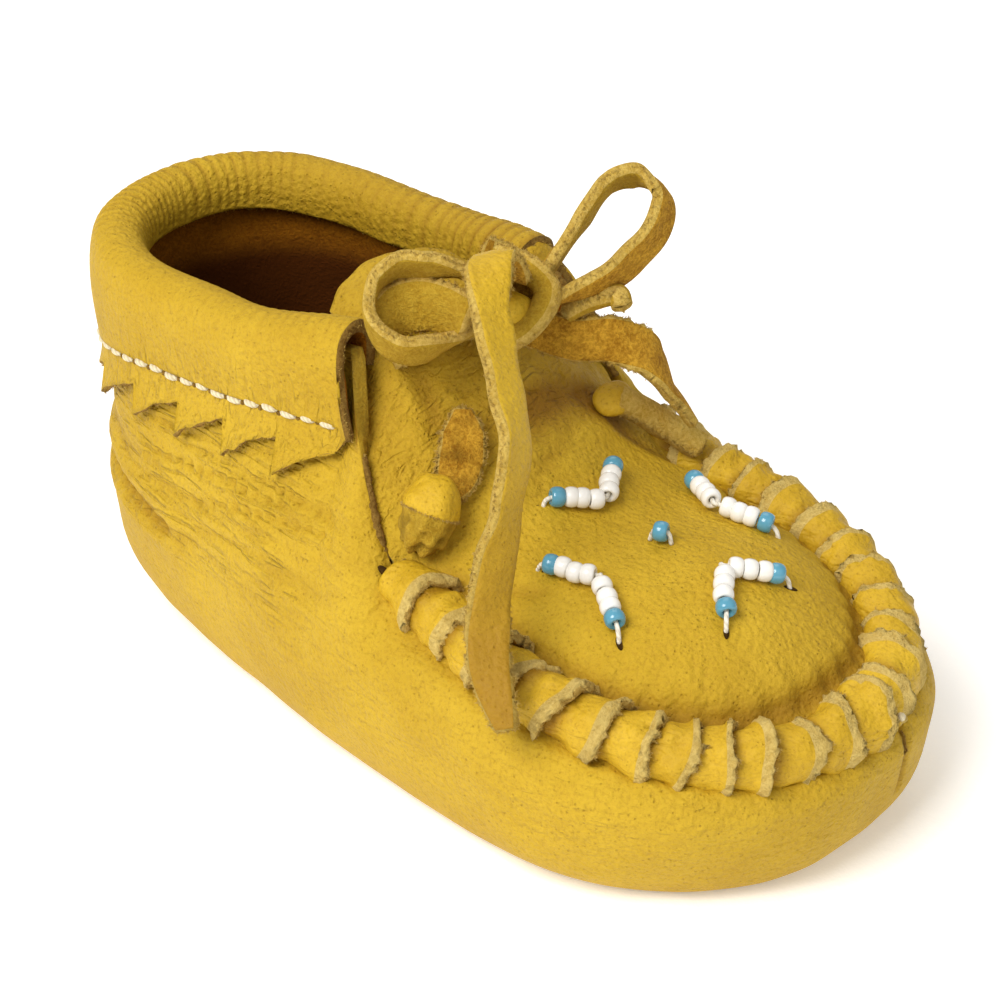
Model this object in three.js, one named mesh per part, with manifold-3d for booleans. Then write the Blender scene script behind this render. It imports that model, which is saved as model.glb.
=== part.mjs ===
import * as THREE from "three";
import Module from "manifold-3d";

const wasm = await Module();
wasm.setup();

// A beaded baby moccasin in millimetres: +X to the toe, +Y to the shoe's left, +Z up.
const hide = 1.6;
const vampHide = 1.5;
const gap = 0.35;
const thong = { width: 4.8, thick: 1.7 };
const bead = { radius: 1.24, long: 1.7, overlap: 0.92, thread: 0.45, sides: 7, count: 4, start: 0.9 };

// The widest outline of the wrapped sole, and how it turns under to the floor.
const sole = {
  heel: -56.8,
  toe: 60,
  heelHalf: 23.6,
  ballHalf: 31.2,
  heelX: -36,
  ballX: 24,
  round: 2.2,
  heelRound: 2.5,
};
const turnUnder = [
  { z: 0, inset: 7.2 },
  { z: 1, inset: 4.5 },
  { z: 3.8, inset: 2.1 },
  { z: 8, inset: 0.6 },
  { z: 13, inset: 0 },
];
const wallSteps = [0.17, 0.34, 0.5, 0.66, 0.82, 1];

// The seam where the plug meets the wrap, and the slanted front edge of the quarters above it.
const seam = {
  throatX: 7.5,
  throatHalf: 22.8,
  wideX: 27,
  half: 24.7,
  toe: 56,
  toeZ: 16.8,
  rise: 0.19,
  round: 2.2,
};
const quarter = { backX: -1, frontX: 9.5 };
const quarterEdge = [
  { x: -2.6, y: 19.2, z: 42.2 },
  { x: 1.6, y: 21.4, z: 34.4 },
];
const collar = { heel: -57.2, front: -6.5, frontHalf: 16, half: 18.8, wideX: -24, roundX: -37, round: 2.3 };
const cuffSize = { roll: 3.5, hide: 1.5, inside: 6.4, wallDrop: 3.4 };
const collarLine = [
  { x: -57.2, top: 50.2, stitch: 33.5 },
  { x: -45, top: 49.2, stitch: 36.4 },
  { x: -24, top: 49.6, stitch: 38.8 },
  { x: -6.5, top: 52, stitch: 40.6 },
];
const runCounts = { back: 12, edge: 3, front: 12 };

// The plug's middle line, and the tongue that carries it on behind the throat.
const spine = [
  { x: -18, z: 53.4 },
  { x: -13, z: 53 },
  { x: -9, z: 51.6 },
  { x: -5, z: 49.2 },
  { x: 1, z: 44.2 },
  { x: 7.5, z: 37.6 },
  { x: 13, z: 33.2 },
  { x: 20, z: 30.7 },
  { x: 27, z: 30 },
  { x: 36, z: 29.4 },
  { x: 44, z: 26.8 },
  { x: 50, z: 22.8 },
  { x: 54, z: 18.6 },
];
const tongue = [
  { x: -18, half: 10, edgeZ: 48.2 },
  { x: -13, half: 11.2, edgeZ: 48.2 },
  { x: -10, half: 11.8, edgeZ: 46.4 },
  { x: -6.5, half: 12.8, edgeZ: 43.4 },
  { x: -3, half: 16.2, edgeZ: 39.2 },
  { x: 0, half: 18.2, edgeZ: 35.2 },
  { x: 4, half: 19.7, edgeZ: 30.2 },
];
const tongueEnd = { near: -18.4, far: -10, rows: 8, corner: 2.6 };
const plug = { inset: 2, toeInset: 2.4, lift: 0.8, crown: 2.2, across: 12 };

const tooth = { pitch: 8.6, tip: 7.3, notch: 3.5, slit: 0.3, thick: 1.2 };
const wrap = { pitch: 4.7, low: 1.5, high: 2.6, inside: 1.1 };

const clamp = (v) => Math.min(1, Math.max(0, v));
const lerp = (a, b, t) => a + (b - a) * t;
const vec = (x, y, z) => new THREE.Vector3(x, y, z);

function look(table, x, column) {
  const last = table.length - 2;
  let i = 0;
  while (i < last && x > table[i + 1].x) {
    i += 1;
  }
  const a = table[i];
  const b = table[i + 1];
  const before = table[Math.max(0, i - 1)];
  const after = table[Math.min(last + 1, i + 2)];
  const t = clamp((x - a.x) / (b.x - a.x));
  const width = b.x - a.x;
  const slopeA = (b[column] - before[column]) / (b.x - before.x || width);
  const slopeB = (after[column] - a[column]) / (after.x - a.x || width);
  const tt = t * t;
  const ttt = tt * t;
  const start = (2 * ttt - 3 * tt + 1) * a[column] + (ttt - 2 * tt + t) * width * slopeA;
  return start + (3 * tt - 2 * ttt) * b[column] + (ttt - tt) * width * slopeB;
}

function roundEnd(t, power) {
  return Math.pow(Math.max(0, 1 - Math.pow(clamp(t), power)), 1 / power);
}

function soleHalf(x, inset) {
  const toe = sole.toe - inset;
  const grow = Math.sin((Math.PI / 2) * Math.min(1, (x - sole.heelX) / (sole.ballX - sole.heelX)));
  const base = lerp(sole.heelHalf, sole.ballHalf, grow) - 0.9 * inset;
  const atHeel = roundEnd((sole.heelX + inset - x) / (sole.heelX - sole.heel), sole.heelRound);
  return base * atHeel * roundEnd((x - sole.ballX) / (toe - sole.ballX), sole.round);
}

function seamHalf(x, inset = 0, toeInset = 0) {
  const grow = Math.sin((Math.PI / 2) * clamp((x - seam.throatX) / (seam.wideX - seam.throatX)));
  const base = lerp(seam.throatHalf, seam.half, grow) - inset;
  return base * roundEnd((x - seam.wideX) / (seam.toe - toeInset - seam.wideX), seam.round);
}

function seamZ(x) {
  return seam.toeZ + seam.rise * (seam.toe - x);
}

function collarHalf(x) {
  const grow = Math.sin((Math.PI / 2) * clamp((collar.front - x) / (collar.front - collar.wideX)));
  const base = lerp(collar.frontHalf, collar.half, grow);
  return base * roundEnd((collar.roundX - x) / (collar.roundX - collar.heel), collar.round);
}

function collarPoint(x) {
  return vec(x, collarHalf(x), look(collarLine, x, "top") - cuffSize.wallDrop);
}

// A column of the wrap: 0 to 1 runs round the heel, 1 to 2 up the slanted edge, 2 to 3 along the seam.
function columnAt(run) {
  if (run <= 1) {
    const s = 1 - Math.cos((run * Math.PI) / 2);
    const top = collarPoint(lerp(collar.heel, collar.front, s));
    return { x: lerp(sole.heel, quarter.backX, s), top, crown: 0 };
  }
  const corner = vec(seam.throatX, seam.throatHalf, seamZ(seam.throatX));
  if (run <= 2) {
    const t = run - 1;
    const edge = quarterEdge.map((row) => vec(row.x, row.y, row.z));
    const top = new THREE.CatmullRomCurve3([collarPoint(collar.front), ...edge, corner]).getPoint(t);
    return { x: lerp(quarter.backX, quarter.frontX, t), top, crown: t };
  }
  const s = Math.sin(((run - 2) * Math.PI) / 2);
  const x = lerp(seam.throatX, seam.toe, s);
  return { x: lerp(quarter.frontX, sole.toe, s), top: vec(x, seamHalf(x), seamZ(x)), crown: 1 };
}

function levelPoint(column, level) {
  const along = (column.x - sole.heel) / (sole.toe - sole.heel);
  const x = lerp(sole.heel + level.inset, sole.toe - level.inset, along);
  return vec(x, soleHalf(x, level.inset), level.z);
}

function wallPoint(column, v) {
  const low = levelPoint(column, turnUnder[turnUnder.length - 1]);
  const high = column.top;
  const tall = high.z - low.z;
  const first = vec(low.x, low.y, low.z + lerp(0.42, 0.55, column.crown) * tall);
  const lean = 0.5 * column.crown;
  const drop = lerp(0.42, 0.1, column.crown) * tall;
  const second = vec(lerp(high.x, low.x, lean), lerp(high.y, low.y, lean), high.z - drop);
  return new THREE.CubicBezierCurve3(low, first, second, high).getPoint(v);
}

function wallAtHeight(column, z) {
  let low = 0;
  let high = 1;
  for (let i = 0; i < 24; i += 1) {
    const mid = (low + high) / 2;
    if (wallPoint(column, mid).z < z) {
      low = mid;
    } else {
      high = mid;
    }
  }
  return wallPoint(column, high);
}

const flip = (p, side) => vec(p.x, p.y * side, p.z);

function outwardAt(place, run) {
  const step = 0.004;
  const a = place(Math.max(0, run - step));
  const b = place(Math.min(3, run + step));
  const n = vec(-(b.y - a.y), b.x - a.x, 0);
  if (run < step) {
    return vec(-1, 0, 0);
  }
  if (run > 3 - step) {
    return vec(1, 0, 0);
  }
  return n.normalize();
}

function vampHalf(x) {
  return x >= seam.throatX ? seamHalf(x, plug.inset, plug.toeInset) : look(tongueRows, x, "half");
}

function vampEdgeZ(x) {
  return x >= seam.throatX ? seamZ(x) + plug.lift : look(tongueRows, x, "edgeZ");
}

const throatRow = {
  x: seam.throatX,
  half: seamHalf(seam.throatX, plug.inset, plug.toeInset),
  edgeZ: seamZ(seam.throatX) + plug.lift,
};
const tongueRows = [...tongue, throatRow];

function vampZ(x, y) {
  const low = vampEdgeZ(x);
  const high = Math.max(low + 0.4, look(spine, x, "z"));
  const off = Math.min(1, Math.abs(y) / Math.max(0.1, vampHalf(x)));
  return lerp(high, low, Math.pow(off, plug.crown));
}

function vampNormal(x, y) {
  const d = 0.4;
  const alongX = (vampZ(x + d, y) - vampZ(x - d, y)) / (2 * d);
  const alongY = (vampZ(x, y + d) - vampZ(x, y - d)) / (2 * d);
  return vec(-alongX, -alongY, 1).normalize();
}

function onVamp(x, y, lift) {
  return vec(x, y, vampZ(x, y)).addScaledVector(vampNormal(x, y), lift);
}

class Shell {
  constructor() {
    this.points = [];
    this.faces = [];
  }
  add(p) {
    this.points.push(p.x, p.y, p.z);
    return this.points.length / 3 - 1;
  }
  row(points) {
    return points.map((p) => this.add(p));
  }
  strip(a, b, closed) {
    const count = closed ? a.length : a.length - 1;
    for (let i = 0; i < count; i += 1) {
      const j = (i + 1) % a.length;
      this.faces.push(a[i], a[j], b[j], a[i], b[j], b[i]);
    }
  }
  fan(pole, ring, turned) {
    for (let i = 0; i < ring.length; i += 1) {
      const j = (i + 1) % ring.length;
      this.faces.push(pole, ...(turned ? [ring[j], ring[i]] : [ring[i], ring[j]]));
    }
  }
  geometry() {
    const geometry = new THREE.BufferGeometry();
    geometry.setAttribute("position", new THREE.Float32BufferAttribute(this.points, 3));
    geometry.setIndex(facingOut(this.points, this.faces));
    return geometry;
  }
}

function facingOut(points, faces) {
  const at = (i) => vec(points[3 * i], points[3 * i + 1], points[3 * i + 2]);
  let volume = 0;
  for (let i = 0; i < faces.length; i += 3) {
    volume += at(faces[i]).dot(at(faces[i + 1]).cross(at(faces[i + 2])));
  }
  if (volume > 0) {
    return faces;
  }
  const turned = [];
  for (let i = 0; i < faces.length; i += 3) {
    turned.push(faces[i], faces[i + 2], faces[i + 1]);
  }
  return turned;
}

// A sheet with thickness: rows of points on its face and matching rows on its back.
function sheet(face, back) {
  const shell = new Shell();
  const front = face.map((row) => shell.row(row));
  const rear = back.map((row) => shell.row(row));
  const last = face.length - 1;
  for (let i = 0; i < last; i += 1) {
    shell.strip(front[i], front[i + 1], false);
    shell.strip(rear[i + 1], rear[i], false);
  }
  shell.strip(rear[0], front[0], false);
  shell.strip(front[last], rear[last], false);
  const side = (rows, k) => rows.map((row) => row[k]);
  const end = face[0].length - 1;
  shell.strip(side(front, 0), side(rear, 0), false);
  shell.strip(side(rear, end), side(front, end), false);
  return shell.geometry();
}

function bottomWrap() {
  const runs = [];
  for (let i = 0; i <= runCounts.back; i += 1) {
    runs.push(i / runCounts.back);
  }
  for (let i = 1; i <= runCounts.edge; i += 1) {
    runs.push(1 + i / runCounts.edge);
  }
  for (let i = 1; i <= runCounts.front; i += 1) {
    runs.push(2 + i / runCounts.front);
  }
  const half = runs.map(columnAt);
  const around = [
    ...half.map((column) => ({ column, side: -1 })),
    ...half.slice(1, -1).reverse().map((column) => ({ column, side: 1 })),
  ];
  const outer = [
    ...turnUnder.map((level) => around.map((c) => flip(levelPoint(c.column, level), c.side))),
    ...wallSteps.map((v) => around.map((c) => flip(wallPoint(c.column, v), c.side))),
  ];
  const inner = outer.map((row, i) =>
    row.map((p, j) => {
      const up = outer[Math.min(outer.length - 1, i + 1)][j].clone().sub(outer[Math.max(0, i - 1)][j]);
      const round = row[(j + 1) % row.length].clone().sub(row[(j + row.length - 1) % row.length]);
      return p.clone().addScaledVector(round.cross(up).normalize(), -hide);
    }),
  );
  const shell = new Shell();
  const outside = outer.map((row) => shell.row(row));
  const inside = inner.map((row) => shell.row(row));
  const last = outer.length - 1;
  shell.fan(shell.add(vec(0, 0, 0)), outside[0], true);
  for (let i = 0; i < last; i += 1) {
    shell.strip(outside[i], outside[i + 1], true);
    shell.strip(inside[i + 1], inside[i], true);
  }
  shell.strip(outside[last], inside[last], true);
  const floorZ = inner[0].reduce((sum, p) => sum + p.z, 0) / inner[0].length;
  shell.fan(shell.add(vec(0, 0, floorZ)), inside[0], false);
  return shell.geometry();
}

function vamp() {
  const across = [];
  for (let k = 0; k <= plug.across; k += 1) {
    across.push(Math.sin(((2 * k) / plug.across - 1) * (Math.PI / 2)));
  }
  const face = [];
  for (let i = tongueEnd.rows; i > 0; i -= 1) {
    const back = across.map((w) => {
      const cut = lerp(tongueEnd.near, tongueEnd.far, (w + 1) / 2);
      const end = cut + tongueEnd.corner * Math.pow(Math.abs(w), 4);
      const x = lerp(seam.throatX, end, i / tongueEnd.rows);
      const y = w * vampHalf(x);
      return vec(x, y, vampZ(x, y));
    });
    face.push(back);
  }
  const toe = seam.toe - plug.toeInset;
  for (let i = 0; i < runCounts.front; i += 1) {
    const s = i < runCounts.front - 1 ? Math.sin((i / runCounts.front) * (Math.PI / 2)) : 0.988;
    const x = lerp(seam.throatX, toe, s);
    face.push(across.map((w) => vec(x, w * vampHalf(x), vampZ(x, w * vampHalf(x)))));
  }
  const under = (p) => p.clone().addScaledVector(vampNormal(p.x, p.y * 0.97), -vampHide);
  return sheet(face, face.map((row) => row.map(under)));
}

// The cuff's section at one place, as distances out from the wall and heights.
function cuffSection(run, side) {
  const column = columnAt(run);
  const out = outwardAt((r) => columnAt(r).top, run);
  const top = look(collarLine, column.top.x, "top");
  const stitch = look(collarLine, column.top.x, "stitch");
  const middle = column.top.clone().addScaledVector(out, -hide / 2);
  middle.z = top - cuffSize.roll;
  const face = [];
  const back = [];
  const flap = [
    { up: 0, off: 0.4 },
    { up: 0.35, off: 1 },
    { up: 0.7, off: 1.4 },
  ];
  for (const row of flap) {
    const at = wallAtHeight(column, lerp(stitch, middle.z, row.up));
    face.push(at.clone().addScaledVector(out, row.off + cuffSize.hide));
    back.push(at.clone().addScaledVector(out, row.off));
  }
  for (let k = 0; k <= 4; k += 1) {
    const turn = (k * Math.PI) / 4;
    for (const [list, radius] of [[face, cuffSize.roll], [back, cuffSize.roll - cuffSize.hide]]) {
      const p = middle.clone().addScaledVector(out, radius * Math.cos(turn));
      p.z += radius * Math.sin(turn);
      list.push(p);
    }
  }
  for (const [list, radius] of [[face, cuffSize.roll - 0.2], [back, cuffSize.roll - cuffSize.hide - 0.2]]) {
    const p = middle.clone().addScaledVector(out, -radius);
    p.z = top - cuffSize.inside;
    list.push(p);
  }
  return { face: face.map((p) => flip(p, side)), back: back.map((p) => flip(p, side)) };
}

function cuff() {
  const sections = [];
  for (let i = runCounts.back; i >= 0; i -= 1) {
    sections.push(cuffSection(i / runCounts.back, -1));
  }
  for (let i = 1; i <= runCounts.back; i += 1) {
    sections.push(cuffSection(i / runCounts.back, 1));
  }
  return sheet(sections.map((s) => s.face), sections.map((s) => s.back));
}

// Even steps along a line given by a place on each run.
function evenRuns(place, from, to, pitch) {
  const fine = 240;
  const lengths = [0];
  for (let i = 1; i <= fine; i += 1) {
    const a = place(lerp(from, to, (i - 1) / fine));
    lengths.push(lengths[i - 1] + a.distanceTo(place(lerp(from, to, i / fine))));
  }
  const total = lengths[fine];
  const count = Math.round(total / pitch);
  return (step) => {
    const want = clamp(step / count) * total;
    let i = 1;
    while (i < fine && lengths[i] < want) {
      i += 1;
    }
    const t = (want - lengths[i - 1]) / (lengths[i] - lengths[i - 1]);
    return { count, at: lerp(from, to, (i - 1 + t) / fine) };
  };
}

// A signed run: minus on the near side, plus on the far side, nought at the shared pole.
const sided = (signed) => ({ run: Math.abs(signed), side: signed < 0 ? -1 : 1 });

function pinkedTrim() {
  const low = (signed) => {
    const { run, side } = sided(signed);
    const column = columnAt(run);
    return flip(wallAtHeight(column, look(collarLine, column.top.x, "stitch") - tooth.notch), side);
  };
  const steps = evenRuns(low, -1, 1, tooth.pitch);
  const { count } = steps(0);
  const stations = [];
  for (let i = 0; i < count; i += 1) {
    stations.push({ step: i + tooth.slit / tooth.pitch, depth: tooth.notch });
    stations.push({ step: i + 0.5, depth: (tooth.notch + tooth.tip) / 2 });
    stations.push({ step: i + 1, depth: tooth.tip });
  }
  const face = [];
  const back = [];
  for (const station of stations) {
    const { run, side } = sided(steps(station.step).at);
    const column = columnAt(run);
    const out = outwardAt((r) => columnAt(r).top, run);
    const stitch = look(collarLine, column.top.x, "stitch");
    const edge = [gap, station.depth].map((down) => wallAtHeight(column, stitch - down));
    face.push(edge.map((p) => flip(p.clone().addScaledVector(out, gap + tooth.thick), side)));
    back.push(edge.map((p) => flip(p.clone().addScaledVector(out, gap), side)));
  }
  return sheet(face, back);
}

// The whipped ridge over the seam, a little higher at the front of each turn.
function lacingSection(run, height, side) {
  const column = columnAt(run);
  const out = outwardAt((r) => columnAt(r).top, run);
  const outer = wallPoint(column, 0.8);
  const s = Math.sin(((run - 2) * Math.PI) / 2);
  const edgeX = lerp(seam.throatX, seam.toe - plug.toeInset, s);
  const edge = vec(edgeX, vampHalf(edgeX), vampEdgeZ(edgeX));
  const innerX = edge.x - wrap.inside * out.x;
  const innerY = Math.max(0, edge.y - wrap.inside * out.y);
  const inner = vec(innerX, innerY, vampZ(innerX, innerY));
  const raise = (p, outBy, upBy) => p.clone().addScaledVector(out, outBy).add(vec(0, 0, upBy));
  const middle = column.top.clone().lerp(edge, 0.5);
  const back = [
    raise(outer, 0.45, 0.25),
    raise(column.top, 0.2, 0.45),
    raise(middle, 0, 0.8),
    raise(edge, 0, 0.6),
    raise(inner, 0, 0.75 + 0.6 * out.x * out.x),
  ];
  const face = [
    raise(outer, 0.9 + 0.3 * height, 0.5),
    raise(column.top, 0.5 + 0.4 * height, 0.4 + 0.75 * height),
    raise(middle, 0, 0.9 + height),
    raise(edge, 0, 0.5 + 0.95 * height),
    raise(inner, 0, 1.1 + 0.6 * out.x * out.x + 0.35 * height),
  ];
  return { face: face.map((p) => flip(p, side)), back: back.map((p) => flip(p, side)) };
}

function lacing() {
  const line = (signed) => {
    const { run, side } = sided(signed);
    return flip(columnAt(3 - run).top, side);
  };
  const steps = evenRuns(line, -1, 1, wrap.pitch);
  const { count } = steps(0);
  const turn = [
    { at: 0.04, height: wrap.low },
    { at: 0.5, height: wrap.high - 0.3 },
    { at: 0.96, height: wrap.high },
  ];
  const sections = [];
  for (let i = 0; i < count; i += 1) {
    for (const row of turn) {
      const { run, side } = sided(steps(i + row.at).at);
      sections.push(lacingSection(3 - run, row.height, side));
    }
  }
  return sheet(sections.map((s) => s.face), sections.map((s) => s.back));
}

// A flat thong along a smooth line: each row gives a point and the way its width runs there.
function strip(rows, steps, width = thong.width, thick = thong.thick) {
  const line = new THREE.CatmullRomCurve3(rows.map((row) => vec(...row.at)), false, "centripetal");
  const face = [];
  const back = [];
  for (let i = 0; i <= steps; i += 1) {
    const t = i / steps;
    const place = t * (rows.length - 1);
    const k = Math.min(rows.length - 2, Math.floor(place));
    const across = vec(...rows[k].across).normalize().lerp(vec(...rows[k + 1].across).normalize(), place - k);
    const along = line.getTangent(t);
    const normal = along.clone().cross(across).normalize();
    const wide = normal.clone().cross(along).normalize();
    const p = line.getPoint(t);
    const edge = [-0.5, 0.5].map((w) => p.clone().addScaledVector(wide, w * width));
    face.push(edge.map((q) => q.clone().addScaledVector(normal, thick / 2)));
    back.push(edge.map((q) => q.clone().addScaledVector(normal, -thick / 2)));
  }
  return sheet(face, back);
}

function toManifold(geometry) {
  const vertProperties = Float32Array.from(geometry.attributes.position.array);
  const triVerts = Uint32Array.from(geometry.index.array);
  const mesh = new wasm.Mesh({ numProp: 3, vertProperties, triVerts });
  mesh.merge();
  return new wasm.Manifold(mesh);
}

function fromManifold(solid) {
  const mesh = solid.getMesh();
  const geometry = new THREE.BufferGeometry();
  geometry.setAttribute("position", new THREE.Float32BufferAttribute(mesh.vertProperties, 3));
  geometry.setIndex([...mesh.triVerts]);
  return geometry;
}

function joined(geometries) {
  return fromManifold(geometries.map(toManifold).reduce((a, b) => a.add(b)));
}

// A rounded lump, half sizes along its own axes, turned so that its long axis points along a way.
function lump(at, half, way, sides = 10, rings = 7) {
  const geometry = new THREE.SphereGeometry(1, sides, rings);
  geometry.deleteAttribute("uv");
  geometry.deleteAttribute("normal");
  const turn = new THREE.Quaternion().setFromUnitVectors(vec(0, 1, 0), vec(...way).normalize());
  geometry.applyMatrix4(new THREE.Matrix4().compose(vec(...at), turn, vec(...half)));
  return geometry;
}

function beadAt(at, way) {
  const { radius, long } = bead;
  const profile = [
    [0, -long / 2],
    [radius * 0.7, -long / 2],
    [radius, -long / 5],
    [radius, long / 5],
    [radius * 0.7, long / 2],
    [0, long / 2],
  ].map(([r, h]) => new THREE.Vector2(r, h));
  const geometry = new THREE.LatheGeometry(profile, bead.sides);
  geometry.deleteAttribute("uv");
  geometry.deleteAttribute("normal");
  const turn = new THREE.Quaternion().setFromUnitVectors(vec(0, 1, 0), way.clone().normalize());
  geometry.applyMatrix4(new THREE.Matrix4().compose(at, turn, vec(1, 1, 1)));
  return geometry;
}

function rod(from, to, radius) {
  const way = to.clone().sub(from);
  const geometry = new THREE.CylinderGeometry(radius, radius, way.length() + radius, 5);
  geometry.deleteAttribute("uv");
  geometry.deleteAttribute("normal");
  const turn = new THREE.Quaternion().setFromUnitVectors(vec(0, 1, 0), way.clone().normalize());
  geometry.applyMatrix4(new THREE.Matrix4().compose(from.clone().lerp(to, 0.5), turn, vec(1, 1, 1)));
  return geometry;
}

// One chevron: two arms of beads on their thread, that run out from its point over the plug.
function chevron(row) {
  const lift = bead.radius + gap;
  const apex = onVamp(row.apex[0], row.apex[1], lift);
  const parts = [lump(apex.toArray(), [1, 1, 1], [0, 0, 1], 6, 4)];
  for (const end of row.ends) {
    const way = onVamp(end[0], end[1], lift).sub(apex).normalize();
    const line = [apex];
    for (let k = 0; k < bead.count; k += 1) {
      const flat = apex.clone().addScaledVector(way, bead.long * bead.overlap * (k + bead.start));
      line.push(onVamp(flat.x, flat.y, lift));
    }
    parts.push(rod(apex, line[1], bead.thread));
    for (let k = 1; k <= bead.count; k += 1) {
      const next = line[Math.min(bead.count, k + 1)];
      parts.push(beadAt(line[k], next.clone().sub(line[k - 1])));
    }
  }
  return joined(parts);
}

const finishes = {
  hide: { color: 0xcc9140, roughness: 0.55, metalness: 0 },
  cutEdge: { color: 0xb27a3c, roughness: 0.85, metalness: 0 },
  thong: { color: 0xc4893c, roughness: 0.7, metalness: 0 },
  whiteGlass: { color: 0xf1f0ea, roughness: 0.2, metalness: 0 },
  blueGlass: { color: 0x599ebd, roughness: 0.15, metalness: 0 },
};
const group = new THREE.Group();
function put(name, geometry, finish) {
  const mesh = new THREE.Mesh(geometry, new THREE.MeshStandardMaterial(finish));
  mesh.name = name;
  group.add(mesh);
}

put("bottom_wrap", bottomWrap(), finishes.hide);
put("vamp", vamp(), finishes.hide);
put("cuff", cuff(), finishes.hide);
put("pinked_trim", pinkedTrim(), finishes.cutEdge);
put("lacing", lacing(), finishes.thong);

const chevrons = [
  { name: "beads_back", apex: [18.6, 0], ends: [[14.2, -5], [14.2, 5]] },
  { name: "beads_far", apex: [26.6, 10], ends: [[20.6, 12.6], [32.8, 12.2]] },
  { name: "beads_near", apex: [27.4, -10], ends: [[20.4, -12], [33.6, -13.4]] },
  { name: "beads_front", apex: [36.2, 0], ends: [[40.8, -5], [40.4, 5]] },
];
for (const row of chevrons) {
  put(row.name, chevron(row), finishes.whiteGlass);
}
const centre = { x: 27.4, y: 0, way: [0.6, -0.8, 0] };
const centreAt = onVamp(centre.x, centre.y, bead.radius + gap);
put("bead_centre", beadAt(centreAt, vec(...centre.way)), finishes.blueGlass);

// The tie: a bar over the tongue between the cuff's ends, and the bow knotted on it.
const bar = { x: -3.2, bend: 0.02, lift: 0.003, across: [0.74, 0, -0.67] };
const barLine = [-10.5, -7.5, -4, 0, 4, 7.5, 10.5].map((y) => ({
  at: onVamp(bar.x - bar.bend * y * y, y, gap + thong.thick / 2 + bar.lift * y * y).toArray(),
  across: bar.across,
}));
put("tie_bar", strip(barLine, 24), finishes.thong);

const bow = { out: [0.59, -0.62, 0.52], right: [0.73, 0.69, 0], up: [-0.36, 0.38, 0.86] };
const loopWay = { near: [0.38, -0.4, 0.83], far: [0.13, -0.7, 0.7] };
const knot = { at: [1.2, 2.4, 51.4], half: [3.6, 4.6, 3.4], way: [0.6, 0.5, -0.6] };
const ring = { at: [0.8, -13, 55.7], radius: 4.9 };
put("tie_knot", lump(knot.at, knot.half, knot.way), finishes.thong);

function onRing(degrees) {
  const t = (degrees * Math.PI) / 180;
  const p = vec(...ring.at).addScaledVector(vec(...bow.right), ring.radius * Math.cos(t));
  return { at: p.addScaledVector(vec(...bow.up), ring.radius * Math.sin(t)).toArray(), across: loopWay.near };
}

const nearLoop = [
  { at: [1.7, -1, 54], across: bow.out },
  { at: [2.2, -6.4, 58.2], across: bow.out },
  ...[70, 110, 150, 190, 230, 270].map(onRing),
  { at: [3.4, -10, 51.2], across: bow.out },
  { at: [2.6, -2.1, 50.7], across: bow.out },
];
const farLoop = [
  { at: [3.9, 5.5, 54], across: bow.out },
  { at: [5.3, 10.4, 60.1], across: loopWay.far },
  { at: [6.1, 14, 63.6], across: loopWay.far },
  { at: [8.3, 16.9, 64.4], across: loopWay.far },
  { at: [11.1, 17.8, 62.3], across: loopWay.far },
  { at: [12, 16.3, 59.6], across: loopWay.far },
  { at: [11.4, 13.4, 56.8], across: loopWay.far },
  { at: [9.3, 8.8, 53.4], across: loopWay.far },
  { at: [5.4, 4.7, 51.6], across: bow.out },
];
const nearEnd = [
  { at: [2.6, 1, 55.5], across: [0.4, 0.5, -0.8] },
  { at: [4.8, -3.8, 60], across: [0.5, 0.5, -0.7] },
  { at: [8, -8.4, 59.4], across: [0.45, 0.8, -0.35] },
  { at: [12.6, -12, 56], across: [0.1, 0.9, -0.4] },
  { at: [17.9, -15.5, 51.4], across: [-0.1, 0.9, -0.4] },
  { at: [21.9, -18.6, 47.9], across: [-0.2, 0.87, -0.45] },
  { at: [24.2, -22.6, 42.1], across: [-0.1, 0.87, -0.45] },
  { at: [26.2, -27.2, 34.3], across: [0.35, 0.85, -0.35] },
  { at: [29.5, -30.8, 28.4], across: [0.75, 0.55, -0.1] },
  { at: [32.8, -33.2, 23.2], across: [0.9, 0.35, 0] },
];
const farEnd = [
  { at: [4.2, 4.9, 47.3], across: [-0.3, 0, 1] },
  { at: [7.4, 7, 46.4], across: [-0.3, 0, 1] },
  { at: [11, 10.4, 46.2], across: [-0.3, 0.2, 1] },
  { at: [13.8, 13.8, 43.4], across: [-0.5, 0.6, 0.5] },
  { at: [14.2, 16.4, 38.8], across: [-0.7, 0.6, 0.2] },
  { at: [15, 19, 34.4], across: [-0.7, 0.6, 0.2] },
];
put("tie_loop_near", strip(nearLoop, 26, 4.4), finishes.thong);
put("tie_loop_far", strip(farLoop, 26), finishes.thong);
put("tie_end_near", strip(nearEnd, 20), finishes.thong);
put("tie_end_far", strip(farEnd, 14), finishes.thong);

// The lacing's own ends at the throat corners: a folded knob with its tail, and a rolled end with a head.
const knob = { at: [7.9, -17.9, 34.7], half: [2.9, 3.8, 2.9], way: [-0.3, 0.3, 0.9] };
const knobTail = [
  { at: [7.4, -15.7, 36.2], across: [0.75, 0.1, -0.6] },
  { at: [7.8, -12.7, 37.8], across: [0.75, 0.1, -0.6] },
  { at: [7.4, -10.9, 39.4], across: [0.75, 0.1, -0.6] },
  { at: [5.8, -9.3, 42], across: [0.75, 0.1, -0.6] },
];
const nearKnob = joined([lump(knob.at, knob.half, knob.way), strip(knobTail, 8, 3.6, 1.4)]);
put("lacing_end_near", nearKnob, finishes.thong);

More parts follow.
